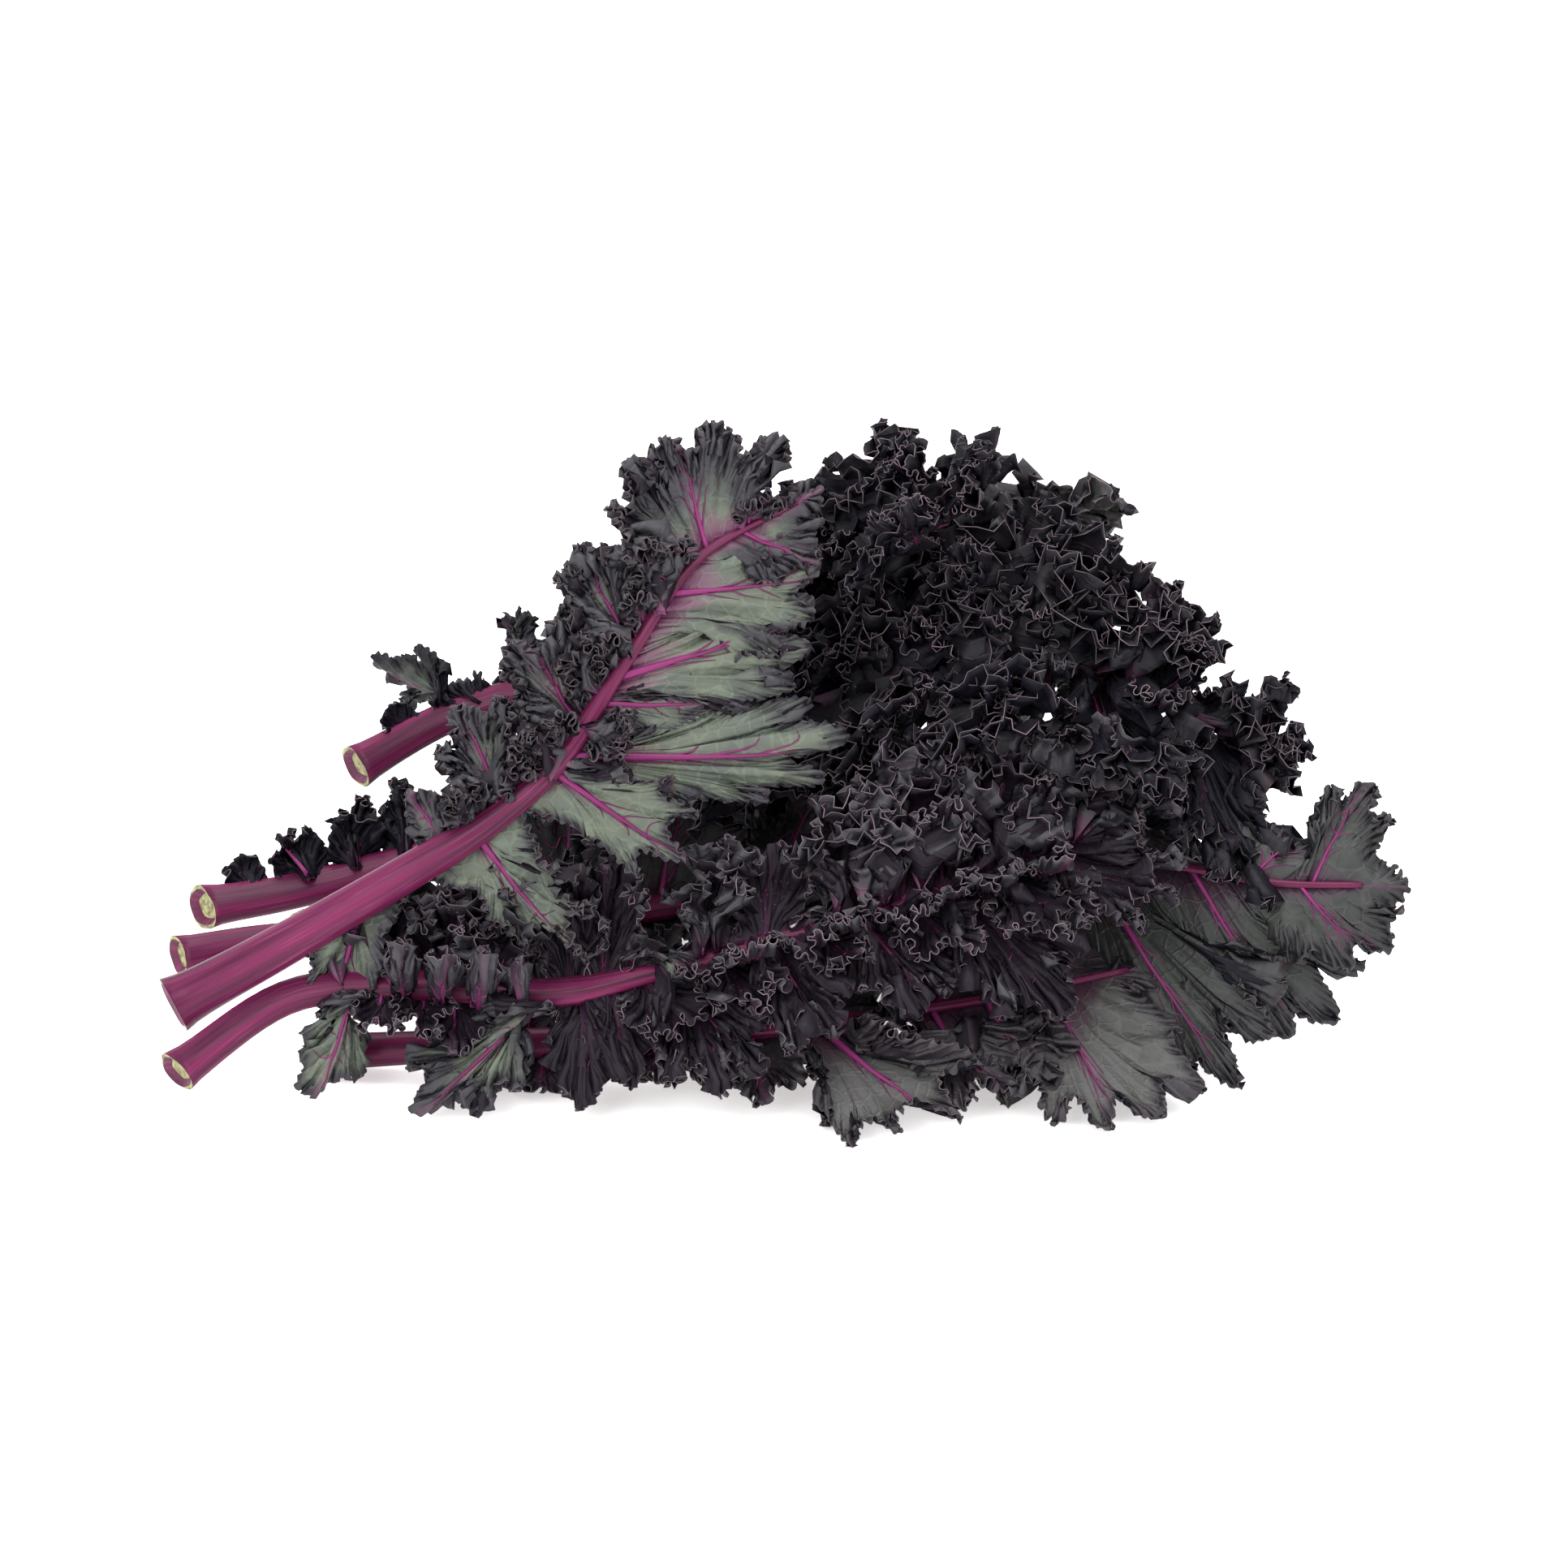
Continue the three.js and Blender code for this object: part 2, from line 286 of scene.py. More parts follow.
DENSE = Frills(ruffles=(Ruffle(12, 1.3, 26), Ruffle(4.8, 1.7, 11, 0.25)), pucker=1.4)
TIGHT = Frills(ruffles=(Ruffle(10, 1.25, 20), Ruffle(4.2, 1.6, 9, 0.3)), roll_depth=20.0)
SMOOTH = Frills(ruffles=(Ruffle(11, 0.32, 9), Ruffle(3.8, 1.6, 4.8, 0.25)), roll_depth=14.0, pucker=1.0)
CALM = Frills(ruffles=(Ruffle(13, 0.32, 8), Ruffle(4.0, 1.65, 4.8, 0.28)), roll_depth=14.0, pucker=0.9)
BROAD = Frills(ruffles=(Ruffle(14, 1.25, 22), Ruffle(7.5, 1.0, 9)))
WIDEST_SWING = 1.78  # radians; beyond it the loops of a hem cross
INNER_ROWS = (0.0, 0.45, 0.84)  # shares of the way from the midrib to the frilled strip
STRIP_ROWS = (9.5, 5.2, 2.2, 0.0)  # distances from the margin
STRIDE = 4  # columns of the strip to one column inside
BRANCHING = 0.62  # how far along a lobe's own vein a ray runs before it turns out to the margin
RAYS = 25  # rays to a lobe, before the columns are spaced
INSET_SEARCH = 26.0  # how far along the margin the nearest point of it is looked for
FAR_INSIDE = 1000.0  # a distance from the margin that is past every frill
SEATED = 0.55  # how deep the outer half of a blade sits on its midrib, as a share of the midrib's radius
TABLE_PRESS = (0.7, 4.0)  # the lowest leaf, and the height under which it is pressed
STALK_PRESS = (0.05, 2.5)  # the same for stalks and veins
BROAD_BLISTERS = (0.30, 0.36, 0.42, 0.5, 0.58)  # radians to a millimetre
SMALL_BLISTERS = (0.8, 0.95, 1.1, 1.25, 1.4)
MEANDER_STEPS = 48
CUT_SLANT = (0.0, -0.5, 0.2)  # how far the cut end leans forward for each metre across it
CURVE_STEPS = 60  # steps between two points of a rib
PATTERN_STEP = 4  # steps of a rib between two places that a stalk's streaks are hung on
STALK_STEP = 5.0  # length of stalk between two rings
STALK_SIDES = 20
VEIN_RINGS = 14
SIDE_VEIN_RINGS = 8
STOUT_VEIN = 0.7  # radius over which a vein has six sides and not five
MIX_INPUTS = (0, 6, 7)  # a colour mix node's share and its two colours
MIX_OUTPUT = 2


@dataclass
class Blade:
    """One leaf's blade as a grid: columns round the margin, rows from the midrib to the margin."""

    rib: Rib
    lobes: tuple
    stalk_radius: object
    grain: Grain
    seed: int
    seat: float
    frills: Frills

    def __post_init__(self) -> None:
        """Lays the sheet out."""
        self.rng = np.random.default_rng(self.seed)
        self.order = self._order()
        fields, centres = self._rays()
        self._columns(fields, centres)
        self._lay()
        self._ruffle()

    def _order(self) -> list:
        """The lobes from the left foot of the blade round its tip to the right foot."""
        left = sorted((l for l in self.lobes if l.side is L), key=lambda l: l.at)
        tip = [l for l in self.lobes if l.side is T]
        right = sorted((l for l in self.lobes if l.side is R), key=lambda l: -l.at)
        return left + tip + right

    def _rays(self) -> tuple[np.ndarray, list]:
        """The rays of all lobes in order.

        Returns:
            One row of values to a ray, and the index of each lobe's middle ray.
        """
        blocks, centres = [], []
        for i, lobe in enumerate(self.order):
            q = np.linspace(-1.0, 1.0, RAYS)
            forward = -q if lobe.side is R else q
            shape = lobe.edge + (1 - lobe.edge) * np.cos(q * math.pi / 2) ** 0.8
            if lobe.side is T:
                place = np.full(RAYS, lobe.at)
                angle = np.radians(lobe.angle - q * lobe.fan)
            else:
                place = lobe.at + forward * lobe.foot / self.rib.length
                angle = np.radians(lobe.angle - forward * lobe.fan) * lobe.side.value
            middle = math.radians(lobe.angle) * lobe.side.value
            turn = math.radians(lobe.turn)
            same = (
                lobe.lift, lobe.curl, lobe.sag, lobe.sweep, lobe.roll, lobe.frill, lobe.reach,
                middle, turn, lobe.dusk, lobe.detail,
            )
            block = np.column_stack(
                [place, angle, lobe.length * shape] + [np.full(RAYS, value) for value in same]
            )
            if i:
                bay = (blocks[-1][-1] + block[0]) / 2
                bay[Ray.LENGTH] = min(lobe.web, self.order[i - 1].web)
                blocks.append(bay[None])
            centres.append(sum(len(b) for b in blocks) + RAYS // 2)
            blocks.append(block)
        return np.concatenate(blocks), centres

    def _place(self, rays: np.ndarray, v: np.ndarray) -> np.ndarray:
        """Points of the unruffled sheet.

        Args:
            rays: One row of values to a ray.
            v: Shares of the way from midrib to margin, by row and ray.

        Returns:
            Points by row and ray.
        """
        place, angle, length, lift, curl, sag, sweep = rays.T[: Ray.ROLL]
        middle = rays[:, Ray.MIDDLE]
        point, along, up, left = self.rib.at(place)
        heading = np.cos(angle)[:, None] * along + np.sin(angle)[:, None] * left
        heading = unit(heading + lift[:, None] * up)
        bend = curl[:, None] * up + sweep[:, None] * along
        bend[:, 2] -= sag
        v = v[..., None]
        sunk = self.seat + (SEATED - self.seat) * smooth_step((place - 0.5) / 0.14)
        seat = up * (self.stalk_radius(place) * sunk)[:, None]
        axis = np.cos(middle)[:, None] * along + np.sin(middle)[:, None] * left
        straight = heading - 2 * BRANCHING * np.cos(angle - middle)[:, None] * axis
        away = length[None, :, None] * (v * heading + v * v * bend - v * (1 - v) * straight)
        twist = rays[:, Ray.TURN][:, None] * smooth_step((v * length[None, :, None] - 3.0) / 16.0)
        level = (away * axis).sum(-1, keepdims=True) * axis
        away = level + np.cos(twist) * (away - level) + np.sin(twist) * np.cross(axis, away)
        return point + seat * (1 - v) + away

    def _columns(self, fields: np.ndarray, centres: list) -> None:
        """Spaces the columns along the unruffled margin, closer on lobes with more detail."""
        margin = self._place(fields, np.ones((1, len(fields))))[0]
        steps = np.linalg.norm(np.diff(margin, axis=0), axis=1) + 0.02
        passed = np.concatenate([[0.0], np.cumsum(steps)])
        detail = fields[:, Ray.DETAIL]
        weighed = np.concatenate([[0.0], np.cumsum(steps * (detail[1:] + detail[:-1]) / 2)])
        count = int(weighed[-1] / 10.0 * self.grain.value / STRIDE) * STRIDE + 1
        places = np.linspace(0.0, weighed[-1], count)
        self.passed = np.interp(places, weighed, passed)
        self.rays = np.stack([np.interp(places, weighed, f) for f in fields.T], -1)
        self.centres = np.interp([weighed[c] for c in centres], places, np.arange(count))
        lobules = np.sin(self.passed / 17.0 * 2 * math.pi + 2.5 * self._noise(40.0))
        lobules = self.frills.lobules * (lobules + 0.5 * self._noise(9.0))
        self.rays[:, Ray.LENGTH] *= 1.0 + lobules * smooth_step((self.rays[:, Ray.LENGTH] - 8.0) / 20.0)

    def _noise(self, pitch: float) -> np.ndarray:
        """Smooth random wander along the margin."""
        return tidy_noise(self.rng, self.passed, pitch)

    def _lay(self) -> None:
        """Lays the smooth sheet and its flat pattern."""
        length = self.rays[:, Ray.LENGTH]
        outer = 1.0 - np.array(STRIP_ROWS)[:, None] * np.minimum(1.0, length / 26.0) / length
        self.v = np.concatenate([np.array(INNER_ROWS)[:, None] * outer[:1], outer])
        self.points = self._place(self.rays, self.v)
        angle, middle = self.rays[:, Ray.ANGLE], self.rays[:, Ray.MIDDLE]
        side = self.v * (1 - self.v) * length
        lean = 2 * BRANCHING * np.cos(angle - middle)
        x = self.v * length * np.cos(angle) - side * (np.cos(angle) - lean * np.cos(middle))
        y = self.v * length * np.sin(angle) - side * (np.sin(angle) - lean * np.sin(middle))
        self.pattern = np.stack([self.rays[:, Ray.PLACE] * self.rib.length + x, y], -1)
        self.inset = np.full(self.v.shape, FAR_INSIDE)
        spread = int(INSET_SEARCH / self.passed[-1] * len(self.passed))
        for shift in range(-spread, spread + 1, max(spread // 16, 1)):
            margin = np.roll(self.pattern[-1], shift, axis=0)
            self.inset = np.minimum(self.inset, np.linalg.norm(self.pattern - margin, axis=-1))

    def _skin(self) -> tuple[np.ndarray, np.ndarray, np.ndarray, np.ndarray]:
        """Directions on the sheet as it now lies.

        Returns:
            Unit vectors along the margin, outwards and up, and the distance between columns.
        """
        by_column = np.gradient(self.points, axis=1)
        by_row = np.gradient(self.points, axis=0)
        up = unit(np.cross(by_column, by_row))
        pitch = np.linalg.norm(by_column, axis=-1)
        along = unit(by_column)
        return along, unit(np.cross(up, along)), up, pitch

    def _hem(self, ruffle: Ruffle, grown: np.ndarray) -> None:
        """Adds one order of ruffle along the margin as it now lies.

        Args:
            ruffle: The order.
            grown: How much room each ray has for it, 0 to 1, by column.
        """
        along, _, up, pitch = self._skin()
        steps = np.linalg.norm(np.diff(self.points[-1], axis=0), axis=1)
        passed = np.concatenate([[0.0], np.cumsum(steps)])
        depth = ruffle.depth * self.rays[:, Ray.REACH]
        fade = np.clip(1.0 - self.inset / depth, 0.0, 1.0) ** 1.3 * grown
        swing = ruffle.swing * fade * (1.0 + 0.2 * tidy_noise(self.rng, passed, ruffle.wave * 2.1))
        swing = np.minimum(swing, WIDEST_SWING)
        phase = passed / ruffle.wave + ruffle.unrest * tidy_noise(self.rng, passed, ruffle.wave * 1.9)
        drift = 6.0 * tidy_noise(self.rng, passed, ruffle.wave * 2)
        bent = 0.22 * np.sin(self.inset / (depth * 0.28) + drift)
        ahead, off, share = meander(swing, phase[None] + bent * (self.inset > 0))
        room = np.minimum(pitch / np.maximum(pitch[-1:], 1e-6), 1.15)
        hem = ruffle.wave * room / share
        self.points = self.points + along * (ahead * hem)[..., None] + up * (off * hem)[..., None]

    def _ruffle(self) -> None:
        """Rolls the margin, then ruffles it order by order, and puckers the sheet inside."""
        f = self.frills
        length = self.rays[:, Ray.LENGTH]
        grown = smooth_step((length - 4.0) / 20.0)
        _, outward, up, _ = self._skin()
        strip = np.clip(1.0 - self.inset / f.roll_depth, 0.0, 1.0) * grown
        roll = self.rays[:, Ray.ROLL] + 0.25 * self._noise(35.0)
        self.points = self.points + up * (roll * strip**2 * f.roll_depth * 0.6)[..., None]
        self.points = self.points - outward * (np.abs(roll) * strip**3 * f.roll_depth * 0.35)[..., None]
        self._pucker()
        for ruffle in f.ruffles:
            depth = ruffle.depth * self.rays[:, Ray.REACH]
            share = smooth_step((length - 3.0) / (depth * 0.9)) * self.rays[:, Ray.FRILL]
            self._hem(ruffle, share)
        self._rest_on_table()

    def _pucker(self) -> None:
        """Puckers the sheet between its veins, in broad and in small blisters."""
        _, _, up, _ = self._skin()
        x, y = self.pattern[..., 0], self.pattern[..., 1]
        turn = self.rng.uniform(0.0, 6.28, 10)
        broad, small = (
            sum(np.sin(x * math.cos(a) * k + y * math.sin(a) * k + 5.0 * a) for a, k in zip(turns, waves))
            for turns, waves in ((turn[:5], BROAD_BLISTERS), (turn[5:], SMALL_BLISTERS))
        )
        calm = smooth_step(self.v * 2.5)
        lift = (broad * 0.38 + small * 0.14) * calm * self.frills.pucker
        self.points = self.points + up * lift[..., None]

    def _rest_on_table(self) -> None:
        """Presses what would go below the table up on to it."""
        self.points[..., 2] = above_table(self.points[..., 2], *TABLE_PRESS)

    def on_sheet(self, column: np.ndarray, v: np.ndarray) -> tuple[np.ndarray, np.ndarray]:
        """Points and upward directions anywhere on the finished sheet.

        Args:
            column: Column numbers, with fractions.
            v: Shares of the way from midrib to margin.

        Returns:
            The points, and the unit vectors to the upper side there.
        """
        _, _, up, _ = self._skin()
        column = np.clip(column, 0, self.points.shape[1] - 1.001)
        c0 = column.astype(int)
        numbers = np.arange(len(self.v))
        row = np.array([np.interp(w, self.v[:, c], numbers) for w, c in zip(v, c0)])
        r0 = np.minimum(row.astype(int), len(self.v) - 2)
        fr, fc = (row - r0)[:, None], (column - c0)[:, None]

        def blend(grid: np.ndarray) -> np.ndarray:
            """Values of a grid at the places, between its four nearest vertices."""
            near = grid[r0, c0] * (1 - fc) + grid[r0, c0 + 1] * fc
            far = grid[r0 + 1, c0] * (1 - fc) + grid[r0 + 1, c0 + 1] * fc
            return near * (1 - fr) + far * fr

        return blend(self.points), unit(blend(up))


@dataclass(frozen=True)
class Vein:
    """The path of one vein over the finished sheet, with its thickness along it."""

    points: np.ndarray
    up: np.ndarray
    radii: np.ndarray
    age: np.ndarray


def bent_grid(bm: bmesh.types.BMesh, points: np.ndarray) -> list:
    """Adds a grid and moves its vertices.

    Args:
        bm: The mesh to add to.
        points: Places in millimetres, by row and column.

    Returns:
        The new vertices, row by row.
    """
    rows, columns = points.shape[:2]
    made = bmesh.ops.create_grid(bm, x_segments=columns - 1, y_segments=rows - 1, size=1.0)["verts"]
    made.sort(key=lambda vert: (round((vert.co.y + 1) * (rows - 1) / 2), vert.co.x))
    placed = (points + np.array(MIDDLE)).reshape(-1, 3) * MM
    for vert, place in zip(made, placed.tolist()):
        vert.co = place
    return made


def rod(
    bm: bmesh.types.BMesh, path: np.ndarray, up: np.ndarray, radii: np.ndarray, outline: np.ndarray
) -> list:
    """Adds a closed rod along a path.

    Args:
        bm: The mesh to add to.
        path: The middle of each ring.
        up: The way the outline's y looks at each ring.
        radii: The size of each ring.
        outline: Points round a cross-section of radius one.

    Returns:
        The new faces.
    """
    along = unit(np.gradient(path, axis=0))
    up = unit(up - (up * along).sum(-1, keepdims=True) * along)
    across = np.cross(along, up)
    closed = np.concatenate([outline, outline[:1]])
    ring = closed[None, :, :1] * across[:, None] + closed[None, :, 1:] * up[:, None]
    made = bent_grid(bm, path[:, None] + ring * radii[:, None, None])
    count = len(outline)
    seam = [made[row * (count + 1) + end] for row in range(len(path)) for end in (0, count)]
    bmesh.ops.remove_doubles(bm, verts=seam, dist=1e-7)
    made = [vert for vert in made if vert.is_valid]
    rims = {edge for vert in made for edge in vert.link_edges if edge.is_boundary}
    bmesh.ops.holes_fill(bm, edges=list(rims), sides=0)
    faces = list({face for vert in made for face in vert.link_faces})
    bmesh.ops.recalc_face_normals(bm, faces=faces)
    return faces


def mesh_object(name: str, mesh: bpy.types.Mesh, materials: list) -> bpy.types.Object:
    """Puts a smooth-shaded mesh in the scene at the origin.

    Args:
        name: The piece's name.
        mesh: Its mesh, in place.
        materials: Its finishes in order of their numbers.

    Returns:
        The new object.
    """
    for material in materials:
        mesh.materials.append(material)
    mesh.polygons.foreach_set("use_smooth", np.ones(len(mesh.polygons), bool))
    piece = bpy.data.objects.new(name, mesh)
    bpy.context.scene.collection.objects.link(piece)
    return piece


def write_attribute(mesh: bpy.types.Mesh, name: str, values: np.ndarray) -> None:
    """Stores one number to each vertex."""
    mesh.attributes.new(name, "FLOAT", "POINT").data.foreach_set("value", values.astype(np.float32))


def write_pattern(mesh: bpy.types.Mesh, name: str, places: np.ndarray) -> None:
    """Stores flat places in metres, one to each vertex, as the mesh's pattern map."""
    corner = np.zeros(len(mesh.loops), np.int32)
    mesh.loops.foreach_get("vertex_index", corner)
    layer = mesh.uv_layers.new(name=name)
    layer.uv.foreach_set("vector", (places[corner] * MM).astype(np.float32).ravel())


@dataclass
class Leaf:
    """One leaf: its stalk and midrib with the veins, and its blade."""

    name: str
    points: tuple
    facing: tuple
    butt: float
    neck: float
    foot: float
    lobes: tuple
    seed: int
    back: str = "grey"
    edge: str = "rim"
    face: str = "upper"
    grain: Grain = Grain.FINE
    halves: bool = False
    frills: Frills = field(default_factory=Frills)
    hollow: float = 2.0
    tip: float = 0.9
    seat: float = 0.55
    # how deep the dark hem reaches on the whole leaf; at 5 it covers nearly all of the side as painted shade
    # for leaves inside the heap
    dusk: float = 1.0
    thickness: float = 0.28

    def __post_init__(self) -> None:
        """Lays the leaf out."""
        self.rib = Rib(self.points, self.facing)
        self.sheet = Blade(
            self.rib, self.lobes, self.radius, self.grain, self.seed, self.seat, self.frills
        )

    def radius(self, share: np.ndarray) -> np.ndarray:
        """Half the stalk's width at shares of its length."""
        share = np.atleast_1d(np.asarray(share, float))
        beyond = np.clip((share - self.foot) / (1 - self.foot), 0.0, 1.0)
        young = self.neck + (self.tip - self.neck) * beyond**0.6
        old = self.butt + (self.neck - self.butt) * np.clip(share / self.foot, 0.0, 1.0)
        return np.where(share < self.foot, old, young)

    def _vein(self, column: np.ndarray, v: np.ndarray, thick: tuple, age: tuple) -> Vein:
        """A vein along a path on the sheet, sunk into its underside.

        Args:
            column: Column numbers along the path.
            v: Shares of the way to the margin.
            thick: Radius at its start and end.
            age: Colour age at its start and end, 0 old and 1 young.

        Returns:
            The vein.
        """
        points, up = self.sheet.on_sheet(column, v)
        share = np.linspace(0.0, 1.0, len(v))
        radii = thick[0] + (thick[1] - thick[0]) * share**0.8
        return Vein(points - up * (radii * 0.8)[:, None], up, radii, age[0] + (age[1] - age[0]) * share)

    def _veins(self) -> list:
        """The main vein of every lobe and the side veins from it."""
        veins = []
        for lobe, middle in zip(self.sheet.order, self.sheet.centres):
            if lobe.side is T:
                continue
            size = lobe.length / 60.0
            thick = min(0.45 + 1.15 * size, float(self.radius(lobe.at)[0]) * 0.62)
            v = np.linspace(0.02, 0.9, VEIN_RINGS)
            main = self._vein(np.full(VEIN_RINGS, middle), v, (thick, 0.22), (0.25, 0.95))
            root, _, up, _ = self.rib.at(lobe.at)
            first = root + up * float(self.radius(lobe.at)[0]) * 0.1
            main = Vein(np.concatenate([first, main.points[1:]]), main.up, main.radii, main.age)
            veins.append(main)
            if self.grain is Grain.COARSE:
                continue
            half = self._half_width(middle)
            for i in range(lobe.veins):
                for side in (-1, 1):
                    start = 0.16 + 0.62 * (i + 0.25 + 0.25 * side) / lobe.veins
                    t = np.linspace(0.0, 1.0, SIDE_VEIN_RINGS)
                    end = min(start + 0.34, 0.9)
                    column = middle + side * half * (0.62 - 0.1 * i) * t**0.85
                    begin = 0.2 + (thick - 0.2) * (1 - start) * 0.42
                    veins.append(
                        self._vein(column, start + (end - start) * t, (begin, 0.14), (0.5, 1.0))
                    )
        return veins

    def _half_width(self, middle: float) -> float:
        """How many columns lie between a lobe's middle and its edge."""
        return float(np.clip(np.diff(np.sort(self.sheet.centres)).min(), 60, 150)) * 0.5

    def _outline(self) -> np.ndarray:
        """A stalk's cross-section: round below, shallow-grooved above, lightly ribbed."""
        turn = np.linspace(0.0, 2 * math.pi, STALK_SIDES, endpoint=False)
        x, y = np.cos(turn), np.sin(turn)
        size = 1.0 + 0.03 * np.cos(5 * turn) - 0.22 * np.clip(y, 0, 1) ** 3
        return np.stack([x * size, y * size * 0.88], -1)

    def stalk(self, finishes: dict) -> bpy.types.Object:
        """Builds the stalk, the midrib and the veins.

        Args:
            finishes: Materials by name.

        Returns:
            The piece.
        """
        bm = bmesh.new()
        age = bm.verts.layers.float.new("age")
        share = np.linspace(0.0, 1.0, int(self.rib.length / STALK_STEP))
        point, along, up, _ = self.rib.at(share)
        flare = 1.0 + 0.2 * np.exp(-share * self.rib.length / 6.0)
        radii = self.radius(share) * flare
        faces = rod(bm, point, up, radii, self._outline())
        for face in faces:
            for vert in face.verts:
                vert[age] = 0.0
        self._cut_end(bm, faces, point[0], along[0])
        for vein in self._veins():
            sides = 6 if vein.radii[0] > STOUT_VEIN else 5
            turn = np.linspace(0.0, 2 * math.pi, sides, endpoint=False)
            outline = np.stack([np.cos(turn), np.sin(turn)], -1)
            made = rod(bm, vein.points, vein.up, vein.radii, outline)
            self._paint_age(made, vein, age)
        heights = above_table(np.array([vert.co.z for vert in bm.verts]) / MM, *STALK_PRESS) * MM
        for vert, height in zip(bm.verts, heights):
            vert.co.z = height
        mesh = bpy.data.meshes.new(f"{self.name}_stalk_and_veins")
        bm.to_mesh(mesh)
        bm.free()
        self._stalk_pattern(mesh)
        return mesh_object(mesh.name, mesh, [finishes["stalk"], finishes["cut"]])

    def _paint_age(self, faces: list, vein: Vein, layer: object) -> None:
        """Gives a vein's vertices the age of the ring they stand in."""
        middle = (vein.points + np.array(MIDDLE)) * MM
        for vert in {vert for face in faces for vert in face.verts}:
            ring = int(np.argmin(((middle - np.array(vert.co)) ** 2).sum(-1)))
            vert[layer] = float(vein.age[ring])

    def _cut_end(self, bm: bmesh.types.BMesh, faces: list, butt: np.ndarray, along: np.ndarray) -> None:
        """Hollows the cut end of the stalk and leaves it a rim."""
        place = Vector(((butt + np.array(MIDDLE)) * MM).tolist())
        caps = [face for face in faces if len(face.verts) > 4]
        end = min(caps, key=lambda face: (face.calc_center_median() - place).length)
        for vert in end.verts:
            slant = (vert.co - place).dot(Vector(CUT_SLANT))
            vert.co += Vector(along.tolist()) * slant
        wall = self.butt * 0.2 * MM
        rim = bmesh.ops.inset_region(bm, faces=[end], thickness=wall, use_even_offset=True)["faces"]
        for face in rim:
            face.material_index = 1
        bmesh.ops.inset_region(bm, faces=[end], thickness=self.butt * 0.3 * MM)
        push = Vector((along * self.hollow * MM).tolist())
        bmesh.ops.translate(bm, verts=list(end.verts), vec=push)
        end.material_index = 1

    def _stalk_pattern(self, mesh: bpy.types.Mesh) -> None:
        """Maps streaks along the stalk: around it in millimetres, and the distance from the cut."""
        places = np.zeros(len(mesh.vertices) * 3)
        mesh.vertices.foreach_get("co", places)
        places = places.reshape(-1, 3) / MM - np.array(MIDDLE)
        line = self.rib.line[::PATTERN_STEP]
        passed = self.rib.passed[::PATTERN_STEP]
        near = np.array([int(np.argmin(((line - p) ** 2).sum(-1))) for p in places])
        _, _, up, left = self.rib.at(passed[near] / self.rib.length)
        away = places - line[near]
        turn = np.arctan2((away * left).sum(-1), (away * up).sum(-1))
        write_pattern(mesh, "grain", np.stack([np.abs(turn) * 6.0, passed[near]], -1))

    def blades(self, finishes: dict) -> list:
        """Builds the blade, a very frilly one as two halves that meet at the tip.

        Args:
            finishes: Materials by name.

        Returns:
            The pieces.
        """
        last = self.sheet.points.shape[1] - 1
        if not self.halves:
            return [self._blade(f"{self.name}_curly_blade", 0, last, finishes)]
        tip = int(self.sheet.centres[[lobe.side for lobe in self.sheet.order].index(T)] / STRIDE) * STRIDE
        return [
            self._blade(f"{self.name}_left_curly_blade", 0, tip, finishes),
            self._blade(f"{self.name}_right_curly_blade", tip, last, finishes),
        ]

    def _blade(self, name: str, first: int, last: int, finishes: dict) -> bpy.types.Object:
        """Builds the stretch of the blade between two columns.

        Args:
            name: The piece's name.
            first: The first column.
            last: The last column.
            finishes: Materials by name.

        Returns:
            The piece.
        """
        part = np.s_[:, first : last + 1]
        bm = bmesh.new()
        number = bm.verts.layers.int.new("number")
        verts = bent_grid(bm, self.sheet.points[part])
        for i, vert in enumerate(verts):
            vert[number] = i
        columns = last + 1 - first
        spare = [
            bm.edges.get((verts[row * columns + column], verts[(row + 1) * columns + column]))
            for row in range(len(INNER_ROWS))
            for column in range(columns)
            if column % STRIDE
        ]
        bmesh.ops.dissolve_edges(bm, edges=spare, use_verts=True)
        bmesh.ops.triangulate(bm, faces=[face for face in bm.faces if len(face.verts) > 4])
        order = np.array([vert[number] for vert in bm.verts])
        bm.verts.layers.int.remove(number)
        mesh = bpy.data.meshes.new(name)
        bm.to_mesh(mesh)
        bm.free()
        # Painted shade, partly: the hem value is the distance from the margin divided by the hem depths. The
        # smaller it is, the more of the side takes the darker hem colour: the leaf's purple margin near the
        # edge, and painted shade where a deep setting spreads it over the whole side.
        hem = self.sheet.inset / (self.sheet.rays[:, Ray.DARK_HEM_AND_SHADE] * self.dusk)
        for values, attribute in ((self.sheet.inset, "margin"), (hem, "hem"), (self._vein_glow(), "vein")):
            write_attribute(mesh, attribute, values[part].ravel()[order])
        write_pattern(mesh, "leaf", self.sheet.pattern[part].reshape(-1, 2)[order])
        piece = mesh_object(name, mesh, [finishes[self.face], finishes[self.back], finishes[self.edge]])
        leaf = piece.modifiers.new("thickness", "SOLIDIFY")
        leaf.thickness = self.thickness * MM
        leaf.offset = 0.0
        leaf.material_offset = 1
        # the rim faces take the edge finish, pale partly as a painted highlight
        leaf.material_offset_rim = 2
        return piece

    def _vein_glow(self) -> np.ndarray:
        """How near each vertex is to the main vein of its lobe, 0 to 1, and to the midrib."""
        _, _, _, pitch = self.sheet._skin()
        column = np.arange(pitch.shape[1])
        away = np.min(np.abs(column[:, None] - self.sheet.centres[None]), axis=1)
        across = away[None] * np.minimum(pitch, 0.45)
        v = self.sheet.v
        glow = np.exp(-((across / 1.3) ** 2)) * np.clip(1.15 - v, 0, 1)
        reach = self.sheet.rays[None, :, Ray.LENGTH] * v
        return np.maximum(glow, np.exp(-((reach / 2.2) ** 2))) * np.where(reach < 60, 1.0, 0.0)


